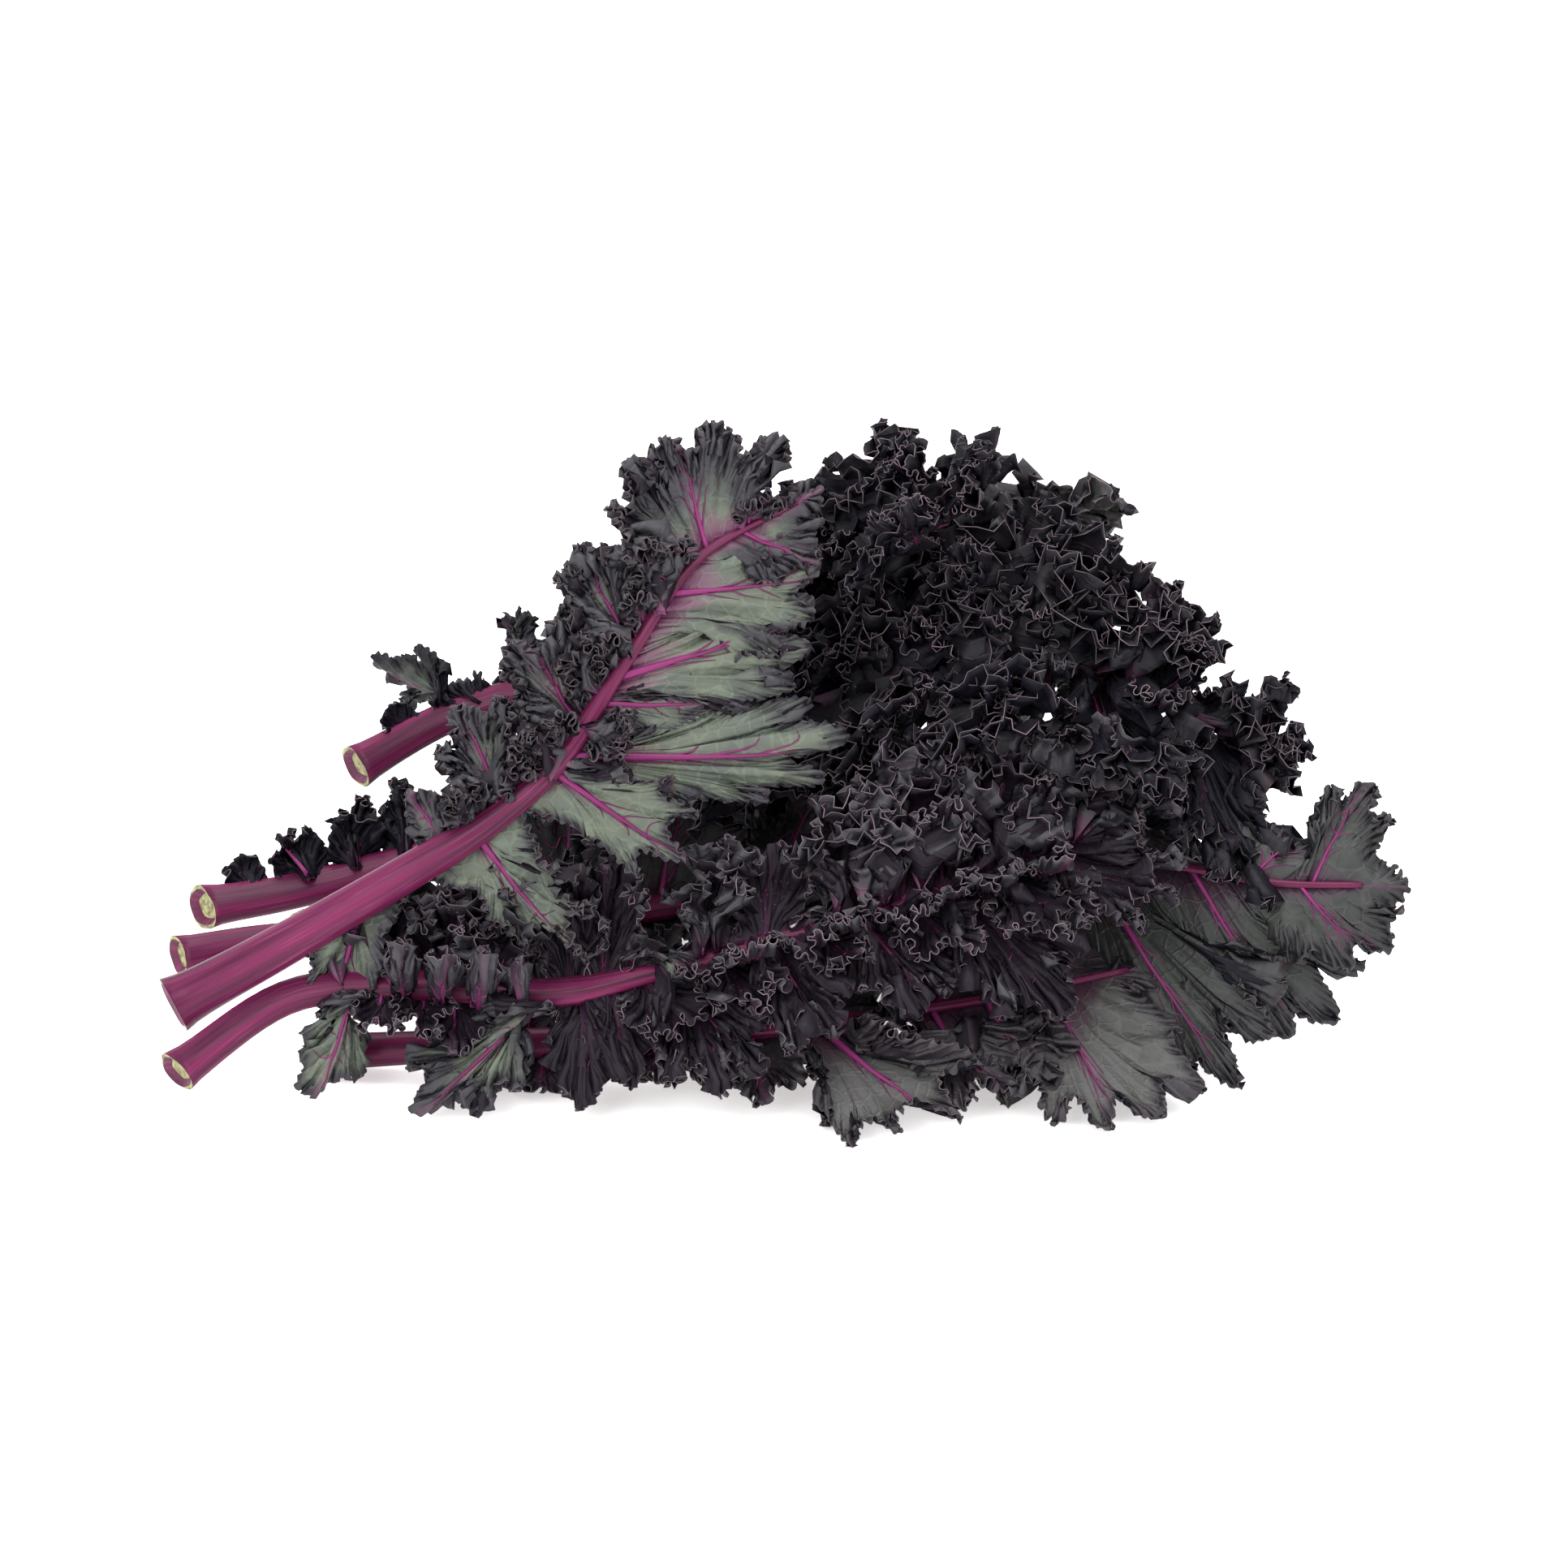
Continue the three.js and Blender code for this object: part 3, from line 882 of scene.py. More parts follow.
def linear(code: str) -> tuple[float, float, float, float]:
    """Turns a colour's sRGB hex code to linear values."""
    channels = [int(code[i : i + 2], 16) / 255.0 for i in (1, 3, 5)]
    return (*[c / 12.92 if c <= 0.04045 else ((c + 0.055) / 1.055) ** 2.4 for c in channels], 1.0)


def add(tree: bpy.types.NodeTree, kind: str, settings: dict, links: dict | None = None) -> bpy.types.Node:
    """Adds a node.

    Args:
        tree: The material's nodes.
        kind: The node's type.
        settings: Values of its properties, or of its sockets by name or number.
        links: Sockets that feed it, by the name or number of the socket they feed.

    Returns:
        The node.
    """
    node = tree.nodes.new(kind)
    for key, value in settings.items():
        if isinstance(key, str) and hasattr(node, key):
            setattr(node, key, value)
        else:
            node.inputs[key].default_value = value
    for key, socket in (links or {}).items():
        tree.links.new(socket, node.inputs[key])
    return node


def ramp(tree: bpy.types.NodeTree, socket: bpy.types.NodeSocket, stops: tuple) -> bpy.types.NodeSocket:
    """Turns a number into a colour.

    Args:
        tree: The material's nodes.
        socket: The number.
        stops: Pairs of place and hex code, two or more.

    Returns:
        The colour socket.
    """
    node = add(tree, "ShaderNodeValToRGB", {}, {"Fac": socket})
    bar = node.color_ramp
    while len(bar.elements) < len(stops):
        bar.elements.new(0.5)
    for element, (place, code) in zip(bar.elements, stops):
        element.position = place
        element.color = linear(code)
    return node.outputs["Color"]


def mix(tree: bpy.types.NodeTree, share: object, one: object, other: object) -> bpy.types.NodeSocket:
    """Mixes two colour sockets by a share, which is a number or a socket."""
    node = add(tree, "ShaderNodeMix", {"data_type": "RGBA"})
    for key, value in zip(MIX_INPUTS, (share, one, other)):
        if isinstance(value, bpy.types.NodeSocket):
            tree.links.new(value, node.inputs[key])
        else:
            node.inputs[key].default_value = value
    return node.outputs[MIX_OUTPUT]


def blank(name: str) -> tuple[bpy.types.Material, bpy.types.NodeTree, bpy.types.Node]:
    """A new material with only its shader.

    Args:
        name: The material's name.

    Returns:
        The material, its nodes and its shader.
    """
    material = bpy.data.materials.new(name)
    material.use_nodes = True
    tree = material.node_tree
    return material, tree, tree.nodes["Principled BSDF"]


@dataclass(frozen=True)
class LeafSkin:
    """Waxy kale leaf, one side of it: a thin cuticle over soft green and purple flesh.

    The wax scatters light, so the leaf looks dull and bluish where it faces the light, and its net of veins
    stands up a little on the underside.
    """

    name: str
    dark: str
    light: str
    hem: str
    # hem: darker margin colour, partly the leaf's own purple margin, partly painted shade where a deep hem
    # setting spreads it wide
    edge: str
    # edge: paler colour by the margin, partly the thin edge's own tone, partly a painted highlight
    vein: str
    net: str
    hem_width: float = 6.5
    net_cell: float = 5.5
    net_share: float = 0.35
    roughness: float = 0.5
    shine: float = 0.35
    relief: float = 0.35
    rim: float = 0.45
    glow: float = 1.0

    def make(self) -> bpy.types.Material:
        """Builds the material."""
        material, tree, shader = blank(self.name)
        flat = add(tree, "ShaderNodeUVMap", {"uv_map": "leaf"}).outputs["UV"]
        mottle = add(
            tree,
            "ShaderNodeTexNoise",
            {"Scale": 1 / 0.016, "Detail": 4.0, "Roughness": 0.6},
            {"Vector": flat},
        ).outputs["Fac"]
        colour = ramp(tree, mottle, ((0.35, self.dark), (0.68, self.light)))
        cells = add(
            tree,
            "ShaderNodeTexVoronoi",
            {"feature": "DISTANCE_TO_EDGE", "Scale": 1000.0 / self.net_cell},
            {"Vector": flat},
        ).outputs["Distance"]
        fine = add(
            tree,
            "ShaderNodeTexVoronoi",
            {"feature": "DISTANCE_TO_EDGE", "Scale": 2600.0 / self.net_cell},
            {"Vector": flat},
        ).outputs["Distance"]
        lines = add(
            tree,
            "ShaderNodeMapRange",
            {"From Min": 0.0, "From Max": 0.09, "To Min": 1.0, "To Max": 0.0},
            {"Value": cells},
        ).outputs["Result"]
        share = add(
            tree, "ShaderNodeMath", {"operation": "MULTIPLY", 1: self.net_share}, {0: lines}
        ).outputs["Value"]
        colour = mix(tree, share, colour, linear(self.net))
        margin = add(tree, "ShaderNodeAttribute", {"attribute_name": "margin"}).outputs["Fac"]
        uneven = add(
            tree, "ShaderNodeMath", {"operation": "MULTIPLY_ADD", 1: 8.0, 2: -4.0}, {0: mottle}
        ).outputs["Value"]
        # The darker hem colour near the margin: partly the leaf's own purple margin, partly painted shade
        # where a leaf's deep hem setting spreads it over the whole side.
        hem = add(tree, "ShaderNodeAttribute", {"attribute_name": "hem"}).outputs["Fac"]
        inset = add(tree, "ShaderNodeMath", {"operation": "ADD"}, {0: hem, 1: uneven}).outputs["Value"]
        near = add(
            tree,
            "ShaderNodeMapRange",
            {"From Min": self.hem_width * 0.35, "From Max": self.hem_width, "To Min": 1.0, "To Max": 0.0},
            {"Value": inset},
        ).outputs["Result"]
        colour = mix(tree, near, colour, linear(self.hem))
        # Painted highlight, partly: a paler edge colour on the last quarter millimetre by the margin, all
        # round the leaf, whichever way the margin faces.
        rim = add(
            tree,
            "ShaderNodeMapRange",
            {"From Min": 0.0, "From Max": 0.25, "To Min": self.rim, "To Max": 0.0},
            {"Value": margin},
        ).outputs["Result"]
        colour = mix(tree, rim, colour, linear(self.edge))
        glow = add(tree, "ShaderNodeAttribute", {"attribute_name": "vein"}).outputs["Fac"]
        near_vein = add(
            tree, "ShaderNodeMath", {"operation": "MULTIPLY", 1: self.glow}, {0: glow}
        ).outputs["Value"]
        colour = mix(tree, near_vein, colour, linear(self.vein))
        tree.links.new(colour, shader.inputs["Base Color"])
        smooth, rough = self.roughness - 0.07, self.roughness + 0.1
        gloss = add(
            tree,
            "ShaderNodeMapRange",
            {"From Min": 0.3, "From Max": 0.7, "To Min": smooth, "To Max": rough},
            {"Value": mottle},
        ).outputs["Result"]
        tree.links.new(gloss, shader.inputs["Roughness"])
        height = add(tree, "ShaderNodeMath", {"operation": "ADD"}, {0: lines, 1: fine}).outputs["Value"]
        bump = add(
            tree, "ShaderNodeBump", {"Strength": self.relief, "Distance": 0.0004}, {"Height": height}
        ).outputs["Normal"]
        tree.links.new(bump, shader.inputs["Normal"])
        shader.inputs["Specular IOR Level"].default_value = self.shine
        return material


@dataclass(frozen=True)
class Hem:
    """The cut-thin edge of the blade: pale, dry leaf a few cells thick, and partly a painted highlight all
    along the margin, whichever way it faces.
    """

    name: str
    pale: str
    dusky: str
    roughness: float = 0.6

    def make(self) -> bpy.types.Material:
        """Builds the material."""
        material, tree, shader = blank(self.name)
        flat = add(tree, "ShaderNodeUVMap", {"uv_map": "leaf"}).outputs["UV"]
        mottle = add(
            tree, "ShaderNodeTexNoise", {"Scale": 1 / 0.011, "Detail": 3.0}, {"Vector": flat}
        ).outputs["Fac"]
        colour = ramp(tree, mottle, ((0.36, self.dusky), (0.62, self.pale)))
        tree.links.new(colour, shader.inputs["Base Color"])
        shader.inputs["Roughness"].default_value = self.roughness
        return material


@dataclass(frozen=True)
class StalkSkin:
    """Fresh kale stalk: a taut, satin skin over wet fibre, so it is streaked along its length."""

    name: str
    deep: str
    bright: str
    streak: str
    old: str
    young: str
    roughness: float = 0.36

    def make(self) -> bpy.types.Material:
        """Builds the material."""
        material, tree, shader = blank(self.name)
        flat = add(tree, "ShaderNodeUVMap", {"uv_map": "grain"}).outputs["UV"]
        drawn = add(
            tree, "ShaderNodeMapping", {"Scale": (1.0, 0.035, 1.0)}, {"Vector": flat}
        ).outputs["Vector"]
        broad = add(
            tree, "ShaderNodeTexNoise", {"Scale": 1 / 0.0035, "Detail": 3.0}, {"Vector": drawn}
        ).outputs["Fac"]
        colour = ramp(tree, broad, ((0.33, self.deep), (0.66, self.bright)))
        fibre = add(
            tree, "ShaderNodeTexNoise", {"Scale": 1 / 0.0011, "Detail": 2.0}, {"Vector": drawn}
        ).outputs["Fac"]
        line = add(
            tree,
            "ShaderNodeMapRange",
            {"From Min": 0.56, "From Max": 0.72, "To Min": 0.0, "To Max": 0.35},
            {"Value": fibre},
        ).outputs["Result"]
        colour = mix(tree, line, colour, linear(self.streak))
        age = add(tree, "ShaderNodeAttribute", {"attribute_name": "age"}).outputs["Fac"]
        vein = ramp(tree, age, ((0.2, self.old), (1.0, self.young)))
        is_vein = add(
            tree,
            "ShaderNodeMapRange",
            {"From Min": 0.05, "From Max": 0.3, "To Min": 0.0, "To Max": 0.85},
            {"Value": age},
        ).outputs["Result"]
        colour = mix(tree, is_vein, colour, vein)
        tree.links.new(colour, shader.inputs["Base Color"])
        shader.inputs["Roughness"].default_value = self.roughness
        shader.inputs["Specular IOR Level"].default_value = 0.14
        bump = add(
            tree, "ShaderNodeBump", {"Strength": 0.25, "Distance": 0.0003}, {"Height": fibre}
        ).outputs["Normal"]
        tree.links.new(bump, shader.inputs["Normal"])
        return material


@dataclass(frozen=True)
class CutFlesh:
    """Cut kale stalk: wet pale-green fibre that has begun to dry."""

    name: str
    wet: str
    dry: str

    def make(self) -> bpy.types.Material:
        """Builds the material."""
        material, tree, shader = blank(self.name)
        place = add(tree, "ShaderNodeTexCoord", {}).outputs["Object"]
        pith = add(
            tree, "ShaderNodeTexNoise", {"Scale": 1 / 0.002, "Detail": 4.0}, {"Vector": place}
        ).outputs["Fac"]
        colour = ramp(tree, pith, ((0.35, self.dry), (0.6, self.wet)))
        tree.links.new(colour, shader.inputs["Base Color"])
        shader.inputs["Roughness"].default_value = 0.55
        bump = add(
            tree, "ShaderNodeBump", {"Strength": 0.4, "Distance": 0.0004}, {"Height": pith}
        ).outputs["Normal"]
        tree.links.new(bump, shader.inputs["Normal"])
        return material


FINISHES = {
    "upper": LeafSkin(
        "waxy_purple_leaf_upper_side", "#09080c", "#16141d", "#0e0c14", "#5f4b4e", "#34172e", "#08070a",
        net_share=0.25, roughness=0.5, shine=0.1, relief=0.3, rim=0.3, glow=0.3,
    ),
    "plum": LeafSkin(
        "waxy_plum_leaf_upper_side", "#120e13", "#241c24", "#18121a", "#5f4b4e", "#43193a", "#0d0b10",
        net_share=0.25, roughness=0.5, shine=0.12, relief=0.3, rim=0.3, glow=0.4,
    ),
    "green": LeafSkin(
        "grey_green_leaf_underside", "#3d433e", "#52584a", "#252329", "#483b43", "#683155", "#616b5d",
    ),
    "grey": LeafSkin(
        "purple_grey_leaf_underside", "#323331", "#413f40", "#211c22", "#44373d", "#5b2b4a", "#4e4e4a",
        glow=0.7,
    ),
    "dusky": LeafSkin(
        "dark_grey_leaf_underside", "#171a19", "#222522", "#161418", "#393036", "#4a2340", "#333532",
        glow=0.5,
    ),
    # Painted shade: a darker copy of the underside for the leaves inside the heap; their deep hem setting
    # spreads its near-black hem colour over almost all of it.
    "shade": LeafSkin(
        "painted_shade_leaf_underside", "#3a3f3a", "#4b4f48", "#151318", "#5f4f55", "#4a2040", "#3e403e",
        shine=0.14, glow=0.5,
    ),
    # Pale edges: partly the thin margin's own tone, partly a painted highlight; the soft one is a dimmer copy
    # for the calmer leaves.
    "rim": Hem("pale_leaf_edge_and_painted_highlight", "#62505a", "#2b2228"),
    "soft_rim": Hem("dim_leaf_edge_and_painted_highlight", "#413639", "#2a2427"),
    "stalk": StalkSkin(
        "magenta_leaf_stalk", "#2d0c20", "#641d43", "#85405f", "#79295f", "#452039",
    ),
    "cut": CutFlesh("cut_stalk_flesh", "#8d8f5c", "#574934"),
}
LEAVES = (
    Leaf(
        name="front_leaf",
        points=(
            (-192, -55, 22), (-156, -60, 45), (-117, -62, 70), (-89, -60, 88),
            (-68, -56, 107), (-49, -42, 133), (-27, -22, 159), (4, -2, 171),
        ),
        facing=((0.1, 1, -0.35), (0.1, 1, -0.2)),
        butt=7.8, neck=5.5, foot=0.4,
        lobes=(
            Lobe(0.27, L, 44, 138, fan=42, edge=0.35, foot=1, web=2, curl=-0.05, roll=-0.5),
            Lobe(0.43, L, 46, 90, fan=36, curl=-0.1, foot=2, web=4, roll=-0.5, dusk=0.5),
            Lobe(0.55, L, 48, 86, fan=30, curl=-0.1, foot=2, web=4, roll=-0.5, dusk=0.5),
            Lobe(0.57, L, 73, 53, fan=19, edge=0.4, foot=3, web=4, roll=-0.4, dusk=0.5),
            curly(0.61, L, 25, 80, fan=45, foot=2, web=3, lift=-0.7, roll=-1.0),
            Lobe(0.645, L, 34, 62, fan=30, foot=3, web=7),
            Lobe(0.68, L, 57, 42, fan=28, edge=0.7, foot=8, web=30, roll=-0.4, dusk=0.5),
            Lobe(0.8, L, 43, 50, fan=34, edge=0.75, foot=12, web=28, roll=-0.5, dusk=0.6),
            Lobe(0.92, L, 22, 52, fan=36, edge=0.7, foot=10, web=14, roll=-0.8, frill=2, reach=1.6, dusk=2),
            Lobe(1.0, T, 9, 0, fan=60, edge=0.7, web=10, frill=2, reach=1.4, dusk=2.4),
            curly(0.93, R, 13, 55, fan=50, foot=3, lift=-1.2, reach=1.7),
            Lobe(
                0.87, R, 32, 68, fan=50, edge=0.75, foot=14, web=16, roll=-1.1, frill=2.4, reach=2.0, dusk=3
            ),
            curly(0.815, R, 16, 60, fan=50, foot=3, lift=-1.4, reach=1.7),
            curly(0.78, R, 26, 60, fan=50, foot=3, lift=-0.6, roll=-0.9),
            curly(0.75, R, 15, 60, fan=50, foot=3, lift=-1.5, reach=1.7),
            curly(0.72, R, 31, 62, fan=45, foot=4, web=8, roll=-0.9, dusk=2.6),
            curly(0.685, R, 15, 60, fan=50, foot=3, lift=-1.4, reach=1.7),
            curly(0.65, R, 25, 64, fan=50, foot=3, lift=-0.6, roll=-0.9),
            curly(0.61, R, 32, 70, fan=45, foot=4, roll=-0.9, dusk=2.6),
            curly(0.58, R, 15, 66, fan=50, foot=3, lift=-1.5, reach=1.7),
            curly(0.545, R, 25, 72, fan=50, foot=3, lift=-0.7, roll=-0.9),
            curly(0.51, R, 15, 76, fan=50, foot=3, lift=-1.4, reach=1.7),
            curly(0.48, R, 32, 84, fan=45, foot=3, roll=-0.8, dusk=2.6),
            curly(0.44, R, 22, 92, fan=50, foot=3, lift=-0.6, roll=-0.8),
            Lobe(0.4, R, 20, 105, fan=40, foot=2, roll=-0.3, frill=2, dusk=2),
        ),
        seed=11, face="plum", back="green", edge="soft_rim", frills=SMOOTH,
    ),
    Leaf(
        name="shoulder_leaf",
        points=(
            (-141, 50, 61), (-114, 55, 75), (-87, 55, 86), (-52, 50, 104),
            (-15, 42, 122), (22, 30, 142), (52, 16, 158),
        ),
        facing=((-0.1, -0.95, 0.35), (-0.2, -0.4, 0.85)),
        butt=6.2, neck=5.0, foot=0.24,
        lobes=(
            Lobe(0.1, L, 13, 120, foot=2, web=2),
            Lobe(
                0.2, L, 39, 146, fan=38, foot=2, web=3, frill=0.9, reach=0.7, turn=150, dusk=0.3, detail=1.4
            ),
            Lobe(0.3, L, 30, 105, fan=42, foot=2, web=3, reach=0.8, turn=150, dusk=0.3, detail=1.4),
            laid(0.42, L, 34, 80, roll=0.4, detail=0.5),
            laid(0.55, L, 38, 70, roll=0.4, detail=0.5),
            laid(0.7, L, 34, 62, web=16, roll=0.5),
            crest(0.78, L, 24, 70, 1.4, detail=1.4),
            Lobe(0.86, L, 38, 52, web=16, roll=1.0, detail=1.4),
            crest(0.93, L, 24, 60, 1.4, detail=1.4),
            Lobe(1.0, T, 33, 12, fan=50, web=16, roll=1.0, detail=1.4),
            crest(0.94, R, 28, 60, 1.2, detail=1.4),
            Lobe(0.88, R, 36, 52, web=14, roll=1.0, detail=1.4),
            crest(0.81, R, 22, 60, 1.2),
            Lobe(0.74, R, 26, 60, web=12, roll=1.0, detail=0.7),
            laid(0.6, R, 24, 70, roll=0.5, detail=0.35),
            laid(0.45, R, 22, 80, roll=0.5, detail=0.35),
            laid(0.3, R, 22, 90, roll=0.5, detail=0.35),
        ),
        seed=23, back="shade", dusk=5, grain=Grain.MEDIUM,
    ),
    Leaf(
        name="crown_leaf",
        points=(
            (-189, 12, 27), (-160, 18, 30), (-124, 24, 38), (-76, 26, 52), (-25, 26, 72),
            (30, 20, 94), (80, 6, 110), (118, -2, 106), (144, -8, 88),
        ),
        facing=((0, -0.6, 0.8), (0.2, -0.6, 0.8)),
        butt=6.5, neck=5.2, foot=0.27,
        lobes=(
            Lobe(0.05, L, 15, 115, fan=44, foot=1, web=1, frill=1.2),
            Lobe(0.1, L, 22, 108, fan=46, foot=2, web=4, lift=0, roll=0.5, frill=0.8),
            Lobe(0.145, L, 25, 88, fan=46, foot=2, web=4, lift=0.2, roll=0.5, frill=0.8),
            Lobe(0.19, L, 27, 80, fan=46, foot=2, web=5, lift=0, roll=0.5, frill=0.9),
            Lobe(0.23, L, 20, 74, foot=2, web=6, roll=0.6),
            Lobe(0.29, L, 30, 80, foot=3, roll=1.0, detail=0.4),
            Lobe(0.38, L, 42, 75, roll=1.0, detail=0.4),
            Lobe(0.47, L, 54, 75, web=14, roll=1.1, detail=0.5),
            crest(0.51, L, 24, 75, 2.2),
            Lobe(0.54, L, 40, 80, fan=34, foot=3, lift=0.95, roll=0.6),
            Lobe(0.57, L, 60, 72, web=14, roll=1.1),
            crest(0.61, L, 26, 75, 2.0),
            Lobe(0.64, L, 42, 80, fan=34, foot=3, lift=0.95, roll=0.6),
            Lobe(0.67, L, 62, 68, web=14, roll=1.1),
            crest(0.705, L, 24, 75, 2.2),
            Lobe(0.735, L, 42, 76, fan=34, foot=3, lift=0.95, roll=0.6),
            Lobe(0.77, L, 53, 64, web=16, roll=1.1),
            crest(0.795, L, 24, 70, 2.0),
            Lobe(0.83, L, 42, 70, fan=36, foot=3, lift=0.9, roll=0.6),
            Lobe(0.87, L, 38, 62, web=20, roll=1.1),
            crest(0.91, L, 24, 60, 1.6),
            Lobe(0.96, L, 31, 48, web=18, roll=1.1),
            Lobe(1.0, T, 25, 0, fan=45, web=16, roll=1.0),
            Lobe(0.95, R, 49, 60, sag=0.35, web=16, roll=0.5),
            crest(0.9, R, 24, 70, 1.1),
            Lobe(0.85, R, 52, 68, sag=0.2, web=18, roll=0.7),
            crest(0.805, R, 25, 70, 1.2),
            Lobe(0.765, R, 38, 70, fan=34, foot=3, lift=0.8, roll=0.6),
            Lobe(0.73, R, 52, 68, web=14, roll=1.0),
            crest(0.685, R, 25, 70, 1.2),
            Lobe(0.645, R, 36, 70, fan=34, foot=3, lift=0.8, roll=0.6),
            Lobe(0.61, R, 50, 72, web=10, roll=1.0),
            crest(0.555, R, 25, 76, 1.1),
            Lobe(0.5, R, 44, 76, roll=1.0, detail=0.7),
            crest(0.44, R, 25, 76, 1.1),
            Lobe(0.38, R, 36, 80, roll=1.0, detail=0.7),
            Lobe(0.27, R, 28, 84, roll=0.8),
        ),
        seed=31, back="shade", dusk=5, halves=True, frills=DENSE,
    ),
    Leaf(
        name="long_leaf",
        points=(
            (-195, -14, 21), (-169, -12, 25), (-122, -8, 28), (-54, 0, 30), (9, 2, 39),
            (63, -12, 54), (115, -36, 63), (151, -50, 62), (180, -57, 64),
        ),
        facing=((0.1, 0.8, -0.5), (0.1, 0.8, -0.5)),
        butt=5.6, neck=4.6, foot=0.45,
        lobes=(
            Lobe(0.15, L, 20, 85, fan=46, foot=2, web=2, frill=1.2, reach=1.6, dusk=2),
            Lobe(0.2, L, 24, 85, fan=46, foot=2, web=3, frill=1.2, reach=1.6, dusk=2),
            Lobe(0.25, L, 26, 85, fan=46, foot=2, web=3, frill=1.2, reach=1.6, dusk=2),
            Lobe(0.3, L, 26, 80, fan=46, foot=2, web=5, frill=1.2, reach=1.6, dusk=2),
            Lobe(0.36, L, 28, 75, frill=1.2, reach=1.6, dusk=2),
            Lobe(0.45, L, 30, 75, dusk=4, detail=0.5),
            Lobe(0.6, L, 40, 70, dusk=4, detail=0.4),
            Lobe(0.77, L, 72, 54, fan=28, edge=0.75, curl=0, sag=0.1, web=50, roll=-0.5, detail=1.3),
            Lobe(0.86, L, 50, 50, fan=30, edge=0.8, foot=10, web=40, roll=-0.5, detail=1.3),
            Lobe(0.95, L, 26, 50, fan=32, edge=0.8, foot=10, web=24, roll=-0.6, detail=1.3),
            Lobe(1.0, T, 12, 0, fan=60, edge=0.8, web=14),
            Lobe(0.96, R, 31, 70, fan=28, edge=0.7, foot=3, web=16, roll=-0.7, detail=1.3),
            Lobe(0.91, R, 20, 60, edge=0.85, foot=8, web=16, frill=0.6),
            Lobe(0.83, R, 12, 60, edge=0.9, foot=12, web=10, frill=0.5, reach=0.8),
            Lobe(0.7, R, 14, 65, dusk=4, detail=0.4),
            Lobe(0.5, R, 32, 70, dusk=4, detail=0.6),
            Lobe(0.4, R, 46, 75, lift=-0.4, dusk=3, detail=0.5),
            Lobe(0.32, R, 44, 85, lift=-0.4, dusk=3, detail=0.5),
            Lobe(0.25, R, 30, 80, frill=1.2, reach=1.6, dusk=2),
            Lobe(0.18, R, 20, 85, foot=2, web=3, frill=1.2, reach=1.6, dusk=2),
        ),
        seed=47, back="dusky", edge="soft_rim", grain=Grain.MEDIUM, frills=CALM,
    ),
    Leaf(
        name="lap_leaf",
        points=(
            (-190, -72, 7), (-155, -64, 29), (-117, -66, 34), (-74, -70, 33),
            (-44, -70, 39), (9, -62, 51), (54, -50, 61), (93, -38, 71),
        ),
        facing=((0, -0.5, 0.85), (0, -0.5, 0.85)),
        butt=6.2, neck=4.9, foot=0.45,
        lobes=(
            Lobe(0.2, L, 24, 95, fan=48, foot=2, web=2, roll=0.9),
            Lobe(0.25, L, 34, 95, fan=48, foot=2, web=2, roll=0.9),
            Lobe(0.29, L, 26, 80, fan=50, foot=2, web=2, lift=1.2),
            Lobe(0.34, L, 38, 90, fan=50, foot=2, web=2, lift=0.7, roll=0.9),
            Lobe(0.4, L, 36, 140, fan=36, foot=2, web=3, roll=0.5),
            Lobe(0.44, L, 34, 88, foot=2, web=3, lift=0.5),
            Lobe(0.475, L, 34, 80, foot=2, web=3, lift=0.5),
            Lobe(0.51, L, 40, 24, fan=34, edge=0.5, foot=2, web=3, lift=0.9, frill=0.9, turn=150, dusk=0.08),
            Lobe(0.59, L, 36, 78, foot=3, web=5, roll=0.9),
            crest(0.65, L, 26, 75, 0.5),
            Lobe(0.69, L, 38, 24, fan=34, edge=0.5, foot=2, web=3, lift=0.9, frill=0.9, turn=150, dusk=0.08),
            Lobe(0.74, L, 42, 78, roll=0.9),
            Lobe(0.8, L, 48, 66, roll=0.9),
            crest(0.84, L, 24, 70, 1.4),
            Lobe(0.89, L, 46, 56, web=12, roll=0.9),
            crest(0.94, L, 24, 60, 1.4),
            Lobe(0.98, L, 40, 46, web=12, roll=0.9),
            Lobe(1.0, T, 34, 0, fan=45, web=12, roll=0.7),
            Lobe(0.96, R, 42, 54, sag=0.3, web=12, roll=0.5, reach=1.2),
            crest(0.925, R, 20, 62, 1.1),
            crest(0.9, R, 36, 66, 0.45, sag=0.3),
            crest(0.875, R, 20, 62, 0.8),
            laid(0.85, R, 40, 66, sag=0.5, roll=0.8, reach=1.4),
            crest(0.825, R, 20, 62, 1.1),
            crest(0.8, R, 28, 70, 0.45, sag=0.3),
            crest(0.775, R, 20, 70, 0.8),
            laid(0.75, R, 30, 70, sag=0.5, roll=0.8, reach=1.4),
            crest(0.725, R, 20, 70, 1.1),
            crest(0.7, R, 24, 70, 0.45, sag=0.3),
            crest(0.675, R, 20, 70, 0.8),
            laid(0.65, R, 29, 78, sag=0.5, roll=0.8, reach=1.4),
            crest(0.625, R, 20, 78, 1.1),
            crest(0.6, R, 27, 78, 0.45, sag=0.3),
            crest(0.575, R, 20, 78, 0.8),
            laid(0.55, R, 34, 78, sag=0.5, roll=0.8, reach=1.4),
            crest(0.52, R, 27, 78, 0.45, sag=0.3),
            laid(0.48, R, 24, 84, fan=50, foot=2, sag=0.5),
            laid(0.45, R, 27, 88, fan=50, foot=2, web=3, sag=0.5),
            Lobe(0.41, R, 43, 120, fan=50, edge=0.6, foot=2, lift=0.6, sag=0.5, web=2, turn=165, dusk=0.3),
            Lobe(0.385, R, 20, 85, fan=50, foot=2, web=2, lift=5),
            Lobe(0.345, R, 24, 85, fan=50, foot=2, web=2, lift=5),
            Lobe(0.325, R, 22, 95, fan=46, foot=2, web=2, lift=0.1, sag=0.3, frill=1.2, reach=1.2),
